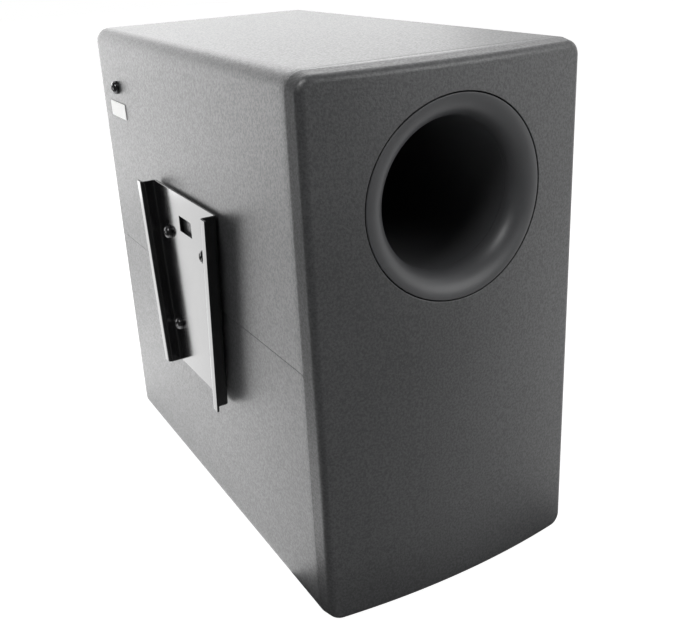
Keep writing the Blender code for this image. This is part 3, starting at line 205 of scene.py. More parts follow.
@dataclass(frozen=True)
class Form:
    """New piece: its name, whether it bounds a solid, and the degrees above which an edge stays crisp."""

    name: str
    closed: bool = True
    sharp: float = 40.0

    def solid(self, mesh: bpy.types.Mesh) -> Piece:
        """Piece of a mesh whose doubled points are merged and whose faces point outwards.

        Args:
            mesh: its points and faces.

        Returns:
            The new piece, at the origin.
        """
        work = bmesh.new()
        work.from_mesh(mesh)
        bmesh.ops.remove_doubles(work, verts=work.verts, dist=MERGE)
        if self.closed:
            bmesh.ops.recalc_face_normals(work, faces=work.faces)
        work.to_mesh(mesh)
        work.free()
        mesh.shade_smooth()
        mesh.set_sharp_from_angle(angle=math.radians(self.sharp))
        return add_object(self.name, mesh)

    def faced(self, points: Array, faces: list[list[int]]) -> Piece:
        """Piece of points, whose last axis is (x, y, z), and of faces that number them.

        Args:
            points: the points, with any number of axes.
            faces: the points of each face, by their numbers.

        Returns:
            The new piece.
        """
        mesh = bpy.data.meshes.new(self.name)
        mesh.from_pydata(points.reshape(-1, 3).tolist(), [], faces)
        return self.solid(mesh)

    def grid(self, points: Array, wrap: bool = True, ring: bool = False, caps: bool = False,
             keep: Array | None = None) -> Piece:
        """Piece of a grid, whose faces join each point to the next in its row and in its column.

        Args:
            points: rows by columns by 3.
            wrap: whether each row closes on itself.
            ring: whether the last row joins the first.
            caps: whether the first and the last row are filled with a face.
            keep: which quads stay, rows by columns, or all of them.

        Returns:
            The new piece.
        """
        rows, columns = points.shape[:2]
        index = np.arange(rows * columns).reshape(rows, columns)
        ends = [index[0, ::-1].tolist(), index[-1].tolist()] if caps else []
        index = np.pad(index, ((0, ring), (0, wrap)), mode="wrap")
        quads = np.stack([index[:-1, :-1], index[:-1, 1:], index[1:, 1:], index[1:, :-1]], axis=-1)
        faces = (quads.reshape(-1, 4) if keep is None else quads[keep]).tolist() + ends
        return self.faced(points, faces)

    def boxes(self, centres: Array, axes: Array, facing: Facing, origin: Array) -> Piece:
        """Piece of boxes: each centre plus or minus each of its box's three half axes.

        Args:
            centres: n by 3, in the piece's own frame.
            axes: n by 3 by 3, a box's half lengths along its own directions.
            facing: way that the piece's own Z points.
            origin: where its own frame stands in the part.

        Returns:
            The new piece.
        """
        signs = np.stack(np.meshgrid([-1, 1], [-1, 1], [-1, 1], indexing="ij"), -1).reshape(-1, 3)
        corners = centres[:, None] + np.einsum("cs,nsk->nck", signs.astype(float), axes)
        sides = np.array([
            (0, 1, 3, 2), (4, 6, 7, 5), (0, 4, 5, 1), (2, 3, 7, 6), (0, 2, 6, 4), (1, 5, 7, 3)])
        first = len(signs) * np.arange(len(centres))
        faces = (first[:, None, None] + sides).reshape(-1, 4).tolist()
        return self.faced(facing.place(corners.reshape(-1, 3), origin), faces)

    def lathe(self, stretches: list, facing: Facing, origin: Array | Triple, steps: int,
              ring: bool = False) -> Piece:
        """Piece turned about its own Z from stretches of (radius, height), open or closed to a ring."""
        return self.grid(facing.place(turned(np.concatenate(stretches), steps), origin), ring=ring)


def round_edges(item: Piece, width: float, angle: float = 50.0, segments: int = 3) -> Piece:
    """Round the edges of a piece that are sharper than an angle.

    Args:
        item: the piece.
        width: how far the rounding reaches from the edge.
        angle: limit in degrees.
        segments: faces across the rounding.

    Returns:
        The same piece.
    """
    bevel = item.modifiers.new("rounded_edges", "BEVEL")
    bevel.width = width
    bevel.segments = segments
    bevel.limit_method = "ANGLE"
    bevel.angle_limit = math.radians(angle)
    bevel.harden_normals = True
    return item


def softened(name: str, node: str, width: float, sharp: float = 30.0) -> Piece:
    """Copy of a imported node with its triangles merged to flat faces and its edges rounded.

    Args:
        name: the new piece's name.
        node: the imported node.
        width: how far the rounding reaches from an edge.
        sharp: angle in degrees above which an edge stays crisp.

    Returns:
        The new piece.
    """
    work = bmesh.new()
    work.from_mesh(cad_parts[node].data)
    bmesh.ops.remove_doubles(work, verts=work.verts, dist=NODE_MERGE)
    bmesh.ops.dissolve_limit(
        work, angle_limit=math.radians(NODE_FLAT), verts=work.verts, edges=work.edges)
    mesh = bpy.data.meshes.new(name)
    work.to_mesh(mesh)
    work.free()
    return round_edges(Form(name, sharp=sharp).solid(mesh), width)


# Shaders

class Socket:
    """Value in a node tree, with arithmetic that adds Math nodes."""

    def __init__(self, graph: "Graph", output: bpy.types.NodeSocket) -> None:
        """Wrap one output of a node."""
        self.graph = graph
        self.output = output

    def __add__(self, other: "Value") -> "Socket":
        """Sum."""
        return self.graph.math("ADD", self, other)

    def __sub__(self, other: "Value") -> "Socket":
        """Difference."""
        return self.graph.math("SUBTRACT", self, other)

    def __rsub__(self, other: "Value") -> "Socket":
        """Difference from a number."""
        return self.graph.math("SUBTRACT", other, self)

    def __mul__(self, other: "Value") -> "Socket":
        """Product."""
        return self.graph.math("MULTIPLY", self, other)

    __radd__ = __add__
    __rmul__ = __mul__

    def rise(self, low: float, high: float) -> "Socket":
        """Smooth step from 0 below low to 1 above high."""
        return self.graph.node(
            "ShaderNodeMapRange", {"interpolation_type": "SMOOTHSTEP"},
            {"Value": self, "From Min": low, "From Max": high})


Value = Socket | float | tuple[float, ...]


class Graph:
    """Node tree of a material, or of the world."""

    def __init__(self, tree: bpy.types.NodeTree) -> None:
        """Take over a tree and empty it."""
        self.tree = tree
        tree.nodes.clear()

    def node(self, kind: str, settings: dict[str, object] | None = None,
             inputs: dict[str | int, Value] | None = None, output: str | int = 0) -> Socket:
        """Add a node.

        Args:
            kind: the node's type.
            settings: its own options, set before its inputs.
            inputs: values or links of its sockets, by name or number.
            output: which of its outputs comes back.

        Returns:
            That output.
        """
        item = self.tree.nodes.new(kind)
        for key, value in (settings or {}).items():
            setattr(item, key, value)
        for key, value in (inputs or {}).items():
            if isinstance(value, Socket):
                self.tree.links.new(value.output, item.inputs[key])
            elif item.inputs[key].type == "RGBA":
                item.inputs[key].default_value = (*value, 1.0)
            else:
                item.inputs[key].default_value = value
        return Socket(self, item.outputs[output] if len(item.outputs) else None)

    def math(self, operation: str, *values: Value) -> Socket:
        """Math node on values."""
        return self.node("ShaderNodeMath", {"operation": operation}, dict(enumerate(values)))

    def place(self) -> Socket:
        """Point on the piece, in the part's frame."""
        return self.node("ShaderNodeTexCoord", output="Object")

    def along(self, axis: str, point: Socket | None = None) -> Socket:
        """One coordinate of a point, or of the point on the piece."""
        return self.node("ShaderNodeSeparateXYZ", inputs={0: point or self.place()}, output=axis)

    def ray(self, kind: str) -> Socket:
        """1 for rays of one kind, such as camera rays."""
        return self.node("ShaderNodeLightPath", output=f"Is {kind} Ray")

    def noise(self, size: float, detail: float, stretch: Triple = (1.0, 1.0, 1.0)) -> Socket:
        """Noise from 0 to 1.

        Args:
            size: width of its features in metres.
            detail: octaves of finer noise.
            stretch: how much denser it is along each axis.

        Returns:
            The noise's value.
        """
        point = self.node(
            "ShaderNodeVectorMath", {"operation": "MULTIPLY"}, {0: self.place(), 1: stretch})
        return self.node(
            "ShaderNodeTexNoise", inputs={"Vector": point, "Scale": 1 / size, "Detail": detail})

    def mix(self, share: Value, first: Value, second: Value) -> Socket:
        """Colour between two others."""
        return self.node("ShaderNodeMix", {"data_type": "RGBA"}, {0: share, 6: first, 7: second}, 2)

    def bump(self, height: Socket, depth: float) -> Socket:
        """Normal of a relief whose height runs from 0 to 1, so many metres deep."""
        return self.node(
            "ShaderNodeBump", inputs={"Height": height, "Distance": depth, "Strength": 1.0})

    def finish(self, shader: Socket) -> None:
        """Show a shader as the surface."""
        self.node("ShaderNodeOutputMaterial", inputs={"Surface": shader})

    def principled(self, **inputs: Value) -> None:
        """Show a Principled surface, whose sockets are named with underscores for spaces."""
        named = {key.replace("_", " "): value for key, value in inputs.items()}
        self.finish(self.node("ShaderNodeBsdfPrincipled", inputs=named))


MATERIALS: dict["Finish", bpy.types.Material] = {}


@dataclass(frozen=True)
class Finish:
    """Surface of some pieces: the slot that names its material, the main colour and the roughness."""

    slot: str
    colour: Triple
    roughness: float

    def shade(self, graph: Graph) -> None:
        """Lay out the finish's nodes."""
        raise NotImplementedError

    def tones(self, graph: Graph, share: Socket, *factors: float) -> Socket:
        """Main colour times the first factor where the share is 0, and the second where it is 1."""
        ends = [tuple(min(channel * factor, 1.0) for channel in self.colour) for factor in factors]
        return graph.mix(share, *ends)

    def material(self) -> bpy.types.Material:
        """Material of this finish, made once.

        Returns:
            The material.
        """
        if self not in MATERIALS:
            made = bpy.data.materials.new(f"{self.slot}_look")
            made.use_nodes = True
            self.shade(Graph(made.node_tree))
            MATERIALS[self] = made
        return MATERIALS[self]

    def dress(self, item: Piece) -> None:
        """Give a piece this finish."""
        item.data.materials.clear()
        item.data.materials.append(self.material())


@dataclass(frozen=True)
class TexturedPaint(Finish):
    """Sprayed paint that dries in fine pebbles: noise in relief, darker and less coated in its pits."""

    pebble: float = 0.0017
    relief: float = 0.00025
    ior: float = 1.55
    coat: float = 0.5
    cloud: float = 0.09

    def shade(self, graph: Graph) -> None:
        """Pebbles of two sizes over a faint cloud.

        Args:
            graph: the material's nodes.
        """
        pebble = graph.noise(self.pebble, 1.0)
        fine = graph.noise(self.pebble * 0.45, 1.0)
        cloud = graph.noise(self.cloud, 3.0)
        height = pebble * 0.7 + fine * 0.3
        tone = height * 0.75 + cloud * 0.25
        graph.principled(
            Base_Color=self.tones(graph, tone.rise(0.3, 0.7), 0.72, 1.28),
            Roughness=self.roughness + 0.10 * (0.5 - height) + 0.05 * (cloud - 0.5),
            IOR=self.ior,
            Coat_Weight=self.coat * (0.72 + 0.56 * height.rise(0.38, 0.62)),
            Coat_Roughness=self.roughness * 0.8,
            Normal=graph.bump(height, self.relief))


@dataclass(frozen=True)
class Moulding(Finish):
    """Moulded plastic, rubber or film: fine spark texture, faint flow marks and finger-worn gloss."""

    grain: float = 0.0005
    relief: float = 0.00002
    mottle: float = 0.12
    coat: float = 0.0
    cloud: float = 0.035

    def shade(self, graph: Graph) -> None:
        """Grain in relief, with a cloud in colour and gloss.

        Args:
            graph: the material's nodes.
        """
        grain = graph.noise(self.grain, 1.5)
        cloud = graph.noise(self.cloud, 3.0)
        tone = grain * 0.5 + cloud * 0.5
        graph.principled(
            Base_Color=self.tones(graph, tone.rise(0.3, 0.7), 1 - self.mottle, 1 + self.mottle),
            Roughness=self.roughness + 0.12 * (cloud - 0.5) + 0.06 * (grain - 0.5),
            Normal=graph.bump(grain, self.relief),
            Coat_Weight=self.coat)


@dataclass(frozen=True)
class CoatedSteel(Finish):
    """Black coat on steel sheet: nearly mirror smooth, with a faint orange peel."""

    peel: float = 0.0035
    relief: float = 0.000004
    ior: float = 1.95
    cloud: float = 0.03

    def shade(self, graph: Graph) -> None:
        """Orange peel in relief and a trace of handling in the gloss.

        Args:
            graph: the material's nodes.
        """
        peel = graph.noise(self.peel, 1.0)
        handling = graph.noise(self.cloud, 4.0)
        graph.principled(
            Base_Color=self.tones(graph, handling.rise(0.35, 0.7), 0.8, 1.25),
            Roughness=self.roughness + 0.08 * (handling - 0.5),
            IOR=self.ior,
            Normal=graph.bump(peel, self.relief))


@dataclass(frozen=True)
class Metal(Finish):
    """Bare or plated metal: lines of its working, and a cloud of tarnish."""

    lines: float = 0.00025
    lay: Triple = (1.0, 1.0, 1.0)
    relief: float = 0.000004
    tarnish: float = 0.25
    metallic: float = 1.0
    cloud: float = 0.008

    def shade(self, graph: Graph) -> None:
        """Stretched noise for the lines, soft noise for the tarnish.

        Args:
            graph: the material's nodes.
        """
        line = graph.noise(self.lines, 2.0, self.lay)
        cloud = graph.noise(self.cloud, 3.0)
        graph.principled(
            Base_Color=self.tones(graph, cloud.rise(0.35, 0.7), 1 - self.tarnish, 1.0),
            Metallic=self.metallic,
            Roughness=self.roughness + 0.14 * (line - 0.5) + 0.10 * (cloud - 0.5),
            Normal=graph.bump(line, self.relief))


@dataclass(frozen=True)
class PressedFibre(Finish):
    """Fibreboard or pulp: short fibres matted along the sheet, in colour and relief."""

    fibre: float = 0.0007
    lay: Triple = (0.35, 0.35, 1.0)
    relief: float = 0.00005

    def shade(self, graph: Graph) -> None:
        """Two stretched noises crossed.

        Args:
            graph: the material's nodes.
        """
        fibre = graph.noise(self.fibre, 3.0, self.lay)
        crossing = graph.noise(self.fibre * 1.7, 3.0, (self.lay[1], 1.0, self.lay[0]))
        height = fibre * 0.6 + crossing * 0.4
        graph.principled(
            Base_Color=self.tones(graph, height.rise(0.3, 0.7), 0.62, 1.25),
            Roughness=self.roughness + 0.1 * (height - 0.5),
            Normal=graph.bump(height, self.relief))


@dataclass(frozen=True)
class DippedCloth(Finish):
    """Open weave stiffened with resin: two sets of threads at right angles."""

    thread: float = 0.0006
    relief: float = 0.00012
    cloud: float = 0.006

    def shade(self, graph: Graph) -> None:
        """Product of two sine waves across and along, worn by noise.

        Args:
            graph: the material's nodes.
        """
        pitch = 2 * math.pi / self.thread
        warp, weft = (graph.math("SINE", graph.along(axis) * pitch) * 0.5 + 0.5 for axis in "XY")
        weave = warp * (1 - weft) + weft * (1 - warp)
        resin = graph.noise(self.cloud, 3.0)
        graph.principled(
            Base_Color=self.tones(graph, weave * 0.6 + resin * 0.4, 0.55, 1.2),
            Roughness=self.roughness - 0.2 * resin,
            Normal=graph.bump(weave, self.relief))


@dataclass(frozen=True)
class SolderMask(Finish):
    """Circuit board: lacquer over copper tracks that show as a paler, raised maze."""

    track: float = 0.0016
    relief: float = 0.00003
    cloud: float = 0.01

    def shade(self, graph: Graph) -> None:
        """Tracks where a cell pattern passes its middle.

        Args:
            graph: the material's nodes.
        """
        cells = graph.node(
            "ShaderNodeTexVoronoi", {"feature": "F1", "distance": "CHEBYCHEV"},
            {"Vector": graph.place(), "Scale": 0.25 / self.track}, "Distance")
        track = cells.rise(0.45, 0.5)
        cloud = graph.noise(self.cloud, 3.0)
        graph.principled(
            Base_Color=self.tones(graph, track, 0.7, 1.5),
            Roughness=self.roughness + 0.15 * (cloud - 0.5),
            Normal=graph.bump(track, self.relief))


CABINET_PAINT = TexturedPaint("cabinet_paint", (0.050, 0.051, 0.053), 0.49)
PORT_PLASTIC = Moulding("port_plastic", (0.062, 0.063, 0.066), 0.42, 0.0004, 0.000012)
MOULDED_BLACK = Moulding("moulded_black", (0.030, 0.030, 0.031), 0.46)
RUBBER = Moulding("rubber", (0.020, 0.020, 0.020), 0.74, 0.0007, 0.00003)
BLACK_STEEL = CoatedSteel("black_steel", (0.005, 0.005, 0.0055), 0.16)
DARK_STEEL = Metal("dark_steel", (0.085, 0.085, 0.088), 0.22, metallic=0.85)
ZINC_STEEL = Metal("zinc_steel", (0.56, 0.56, 0.54), 0.36, 0.0006)
GOLD_PLATE = Metal("gold_plate", (0.83, 0.60, 0.24), 0.24, tarnish=0.15)
COPPER = Metal("copper", (0.74, 0.36, 0.19), 0.34, 0.0004, (0.2, 0.2, 1.0))
BLACK_ALUMINIUM = Metal(
    "black_aluminium", (0.040, 0.040, 0.043), 0.42, 0.0004, (0.15, 1.0, 1.0), metallic=0.6)
BARE_BOARD = PressedFibre("bare_board", (0.40, 0.29, 0.18), 0.86)
CONE_PAPER = PressedFibre("cone_paper", (0.034, 0.033, 0.032), 0.86, 0.0012, (1.0, 0.4, 1.0))
SPIDER_CLOTH = DippedCloth("spider_cloth", (0.55, 0.40, 0.18), 0.85)
FORMER_FILM = Moulding("former_film", (0.45, 0.24, 0.06), 0.32, 0.002, 0.000005)
FERRITE = Moulding("ferrite", (0.055, 0.055, 0.058), 0.58, 0.0009, 0.00004, 0.3)
GREEN_BOARD = SolderMask("green_board", (0.02, 0.12, 0.05), 0.35)
BLUE_SLEEVE = Moulding("blue_sleeve", (0.03, 0.05, 0.16), 0.30, 0.002, 0.000008)
CLEAR_LENS = Moulding("clear_lens", (0.06, 0.30, 0.09), 0.10, 0.004, 0.000003, coat=0.5)
AMBER_PLASTIC = Moulding("amber_plastic", (0.70, 0.30, 0.04), 0.26, 0.003, 0.000005, coat=0.3)
RED_WIRE = Moulding("red_wire", (0.45, 0.03, 0.03), 0.44, 0.0009, 0.00001)
BLACK_WIRE = Moulding("black_wire", (0.025, 0.025, 0.025), 0.44, 0.0009, 0.00001)
WHITE_LABEL = Moulding("white_label", (0.90, 0.90, 0.89), 0.50, 0.0004, 0.000008, 0.03)
PANEL_INK = Moulding("white_label", (0.62, 0.62, 0.60), 0.55, 0.0003, 0.000004, 0.06)


def dressed(item: Piece, finish: Finish, *nodes: str) -> Piece:
    """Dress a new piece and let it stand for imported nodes.

    Args:
        item: the piece.
        finish: its surface.
        nodes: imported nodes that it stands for.

    Returns:
        The same piece.
    """
    finish.dress(item)
    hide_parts(*nodes)
    return item


def show(item: Piece, finish: Finish, *nodes: str, body: str = "cabinet") -> None:
    """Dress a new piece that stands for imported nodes, and set it on a body."""
    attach(dressed(item, finish, *nodes), body)
    LOG.info("%s: %d faces on %s", item.name, len(item.data.polygons), body)


def keep_nodes(**finishes: Finish) -> None:
    """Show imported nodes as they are, each in a finish."""
    for node, finish in finishes.items():
        finish.dress(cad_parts[node])
        LOG.info("%s: kept", node)


# Screws

@dataclass(frozen=True)
class ScrewHead:
    """Pan head with a cross recess, as a height over polar rings."""

    radius: float
    height: float
    shank: float = 0.0
    grip: float = 0.0
    rings: int = 30
    steps: int = 96
    rim: float = 0.3                # height of the crown's edge, as a share
    roundness: float = 3.2
    bar: float = 0.15               # half width of the cross, as shares of the radius
    taper: float = 0.05
    bar_end: Pair = (0.52, 0.64)
    bar_wall: float = 0.03
    climb: float = 0.35             # how much shallower the cross is at the rim
    bite: float = 0.7               # depth of the cross, as a share of the height

    def recess(self, across: Array, up: Array) -> Array:
        """Depth of the cross: two bars at right angles, deepest in the middle, with sloping ends.

        Args:
            across: places along one bar, as shares of the radius.
            up: places along the other bar.

        Returns:
            Depth at each place.
        """
        bars = []
        for long, short in ((np.abs(across), np.abs(up)), (np.abs(up), np.abs(across))):
            beyond = short - (self.bar - self.taper * long)
            inside = 1 - smooth_rise(beyond, -self.bar_wall, self.bar_wall)
            bars.append((1 - smooth_rise(long, *self.bar_end)) * inside * (1 - self.climb * long))
        return self.bite * self.height * np.maximum(*bars)

    def points(self, turned_by: float) -> Array:
        """Grid of rings from the crown's middle to the rim, the seat and the end of the shank.

        The crown's height is the rim's plus the rest times the root of one less a power of the radius,
        less the recess.

        Args:
            turned_by: angle of the recess in radians.

        Returns:
            Points with the seat at zero height and the head upwards.
        """
        share = np.sin(np.linspace(0, math.pi / 2, self.rings))
        crown = self.rim + (1 - self.rim) * (1 - share ** self.roundness) ** 0.5
        tail = [(self.radius, 0), (0, 0)]
        if self.shank:
            tip = (0, -self.grip - self.shank / 2)
            tail[1:] = [(self.shank, 0), (self.shank, -self.grip), tip]
        rings = turned(np.concatenate([
            np.stack([share * self.radius, crown * self.height], axis=1), tail]), self.steps)
        flat = rings[:self.rings, :, :2] / self.radius
        cos, sin = math.cos(turned_by), math.sin(turned_by)
        cross = flat @ np.array([[cos, -sin], [sin, cos]])
        rings[:self.rings, :, 2] -= self.recess(cross[..., 0], cross[..., 1])
        return rings

    def piece(self, name: str, turned_by: float, facing: Facing, seat: Array | Triple) -> Piece:
        """Screw whose head rises from a seat."""
        return Form(name).grid(facing.place(self.points(turned_by), seat))


# Cabinet

@dataclass
class Cabinet:
    """Two-part wrap, bowed front, boards and feet."""

    long_edge: float = 0.0125       # edges that run front to back
    rim_slope: float = 12.5         # degrees by which the front's rim draws in from its joint
    rim_rings: tuple[float, ...] = (0, 0.03, 0.9)   # places on that slope, as shares
    front_edge: float = 0.0054
    bow: float = 0.0095
    wall: float = 0.015
    joint: float = 0.00015          # softening where two pieces meet
    seam: float = 0.0002
    lip_edge: float = 0.0004
    rear_edge: float = 0.0016
    inner_corner: float = FIT_GAP
    hold: float = 0.0025            # flat kept beside a rounding
    rim_room: float = 0.0711        # step in the front that the port's rim sits in
    port_hole: float = 0.0623
    rim_ledge: float = 0.0073       # chord of the front to that step's floor
    foot_hole: float = 0.0042
    foot_edge: float = 0.0007
    foot_taper: float = 0.0015
    foot_waist: float = 1 / 3       # where the taper starts, and the recess ends, as shares
    foot_floor: float = 0.45
    foot_steps: int = 56
    foot_screw: ScrewHead = ScrewHead(0.0032, 0.0012)
    foot_turn: float = 0.4

    def __post_init__(self) -> None:
        """Read the front's place from the frame."""
        self.box = Box.of("front_baffle")
        self.chord = self.box.low[1] + self.bow
        self.bow_radius = (self.box.half[0] ** 2 + self.bow ** 2) / (2 * self.bow)
        self.port = Box.of("port_tube").centre[[0, 2]]

    def front(self, across: Array) -> Array:
        """Depth of the bowed face: a circular arc in plan."""
        off = across - self.box.centre[0]
        return self.box.low[1] + self.bow_radius - np.sqrt(self.bow_radius ** 2 - off ** 2)

    def edge_section(self) -> Array:
        """Section of the front's edge: a straight draft from the joint, then a circular arc to the face.

        Returns:
            Points (in from the outline, behind the face).
        """
        slope = math.radians(self.rim_slope)
        radius = self.front_edge
        depth = self.box.high[1] - self.chord - 2 * self.joint
        run = depth - radius * (1 - math.sin(slope))
        draft = run * math.tan(slope)
        straight = np.array([[0, depth]]) + np.array(self.rim_rings)[:, None] * [[draft, -run]]
        pivot = (draft + radius * math.cos(slope), radius)
        return np.concatenate([straight, arc(pivot, radius, 180 + self.rim_slope, 270, 14)])

    def build_front(self) -> None:
        """Front board, as rings that run from the back of its hole round its edge to the hole again.

        Over the face each point slides straight from the edge to the port's round step, and its depth is
        that of the bow.
        """
        outline, inward = rounded_outline(
            self.box.low[[0, 2]], self.box.high[[0, 2]], (self.long_edge,) * 4, 56, 14, self.port)
        ray = outline - self.port
        ray /= np.linalg.norm(ray, axis=1)[:, None]
        hole, room, lip = (
            self.port + radius * ray
            for radius in (self.port_hole, self.rim_room, self.rim_room + self.lip_edge))
        back = self.box.high[1]
        ledge = self.chord + self.rim_ledge
        easing = [
            (1 - math.sin(angle), 1 - math.cos(angle)) for angle in np.radians(np.linspace(30, 90, 3))]
        edges = [(outline + inset * inward, behind) for inset, behind in self.edge_section()]
        backing = outline + self.joint * inward
        rings = [(hole * (1 - share) + backing * share, back) for share in spread_to_ends(7)]
        rings += [
            (outline + self.joint * inset * inward, back - self.joint * fall) for inset, fall in easing]
        rings += [(flat, self.front(flat[:, 0]) + behind) for flat, behind in edges]
        for share in spread_to_ends(28)[1:]:
            flat = edges[-1][0] * (1 - share) + lip * share
            rings.append((flat, self.front(flat[:, 0])))
        for inset, fall in easing:
            flat = self.port + (self.rim_room + self.lip_edge * inset) * ray
            rings.append((flat, self.front(flat[:, 0]) + self.lip_edge * fall))
        rings += [(room, ledge), (hole, ledge)]
        points = np.array([
            np.stack([flat[:, 0], np.broadcast_to(depth, len(flat)), flat[:, 1]], axis=1)
            for flat, depth in rings])
        show(Form("bowed_front").grid(points, ring=True), CABINET_PAINT, "front_baffle")

    def arch(self, half: float, seam: float, crown: float, radius: float) -> Array:
        """Section of the wrap from its right seam over the crown to its left seam.

        Straight sides, quarter-round corners and a straight crown, with flats held beside each bend.

        Args:
            half: half of its width.
            seam: height of the seam.
            crown: height of the flat part.
            radius: corner radius.

        Returns:
            Points (across, up), as many for any size.
        """
        way = math.copysign(1, crown - seam)
        side, shoulder = half - radius, crown - way * radius
        right = np.concatenate([
            np.linspace((half, seam), (half, seam + way * self.seam), 4),
            [(half, seam + way * self.hold), (half, shoulder - way * self.hold)],
            arc((side, shoulder), radius, 0, way * 90, 12),
            [(side - self.hold, crown)]])
        return np.concatenate([right, right[::-1] * (-1, 1)])

    def build_shell(self, node: str, name: str, seam: float, crown: float) -> None:
        """One half of the wrap, as loops round its wall that are carried along its section.

        Each loop is a rounded rectangle, as long as the wrap and as thick as its wall, and shrinks at
        the seams, where the section ends.

        Args:
            node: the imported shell.
            name: name of the new piece.
            seam: height of the seam.
            crown: height of the outer flat.
        """
        box = Box.of(node)
        inside = crown - math.copysign(self.wall, crown - seam)
        outer = self.arch(box.half[0], seam, crown, self.long_edge)
        inner = self.arch(box.half[0] - self.wall, seam, inside, self.inner_corner)
        loop, inward = rounded_outline(
            np.array([box.low[1], 0]), np.array([box.high[1], self.wall]),
            (self.rear_edge, self.joint, self.joint, self.rear_edge), 12, 5)
        off_seam = np.minimum(np.abs(outer[:, 1] - seam) / self.seam, 1)
        inset = self.seam * (1 - np.sqrt(1 - (1 - off_seam) ** 2))
        loops = loop[None] + inset[:, None, None] * inward[None]
        share = loops[:, :, 1:] / self.wall
        flat = outer[:, None] * (1 - share) + inner[:, None] * share
        across = flat[..., 0] + self.box.centre[0]
        points = np.stack([across, loops[..., 0], flat[..., 1]], axis=-1)
        show(Form(name).grid(points, caps=True), CABINET_PAINT, node)

    def build_feet(self) -> None:
        """Rubber feet: turned profiles with a recess, and the fixing screw sunk in it."""
        edge = self.foot_edge
        for corner in ("front_left", "front_right", "rear_left", "rear_right"):
            node = f"foot_{corner}"
            box = Box.of(node)
            radius = box.half[0]
            tall = box.high[2] - box.low[2]
            floor = tall * self.foot_floor
            profile = [
                [(0, 0), (radius - edge, 0)],
                arc((radius - edge, edge), edge, 270, 360, 4),
                [(radius, tall * self.foot_waist)],
                arc((radius - self.foot_taper - edge, tall - edge), edge, 20, 90, 4),
                arc((self.foot_hole + edge, tall - edge), edge, 90, 180, 4),
                [(self.foot_hole, floor), (0, floor)]]
            origin = np.array([*box.centre[:2], box.high[2]])
            item = Form(f"{node}_rubber").lathe(profile, Facing.DOWN, origin, self.foot_steps)
            show(item, RUBBER, node)
            seat = origin - np.array([0, 0, floor + FIT_GAP / 2])
            screw = self.foot_screw.piece(f"{node}_screw", self.foot_turn, Facing.DOWN, seat)
            show(screw, ZINC_STEEL)

    def build(self) -> None:
        """All of the cabinet."""
        self.build_front()
        upper, lower = Box.of("upper_shell"), Box.of("lower_shell")
        self.build_shell("upper_shell", "upper_wrap", upper.low[2], upper.high[2])
        self.build_shell("lower_shell", "lower_wrap", lower.high[2], lower.low[2])
        self.build_feet()
        keep_nodes(
            rear_panel=CABINET_PAINT, divider_board=BARE_BOARD, divider_cleat_left=BARE_BOARD,
            divider_cleat_right=BARE_BOARD, rear_cleat_top=BARE_BOARD, rear_cleat_bottom=BARE_BOARD)


# Port

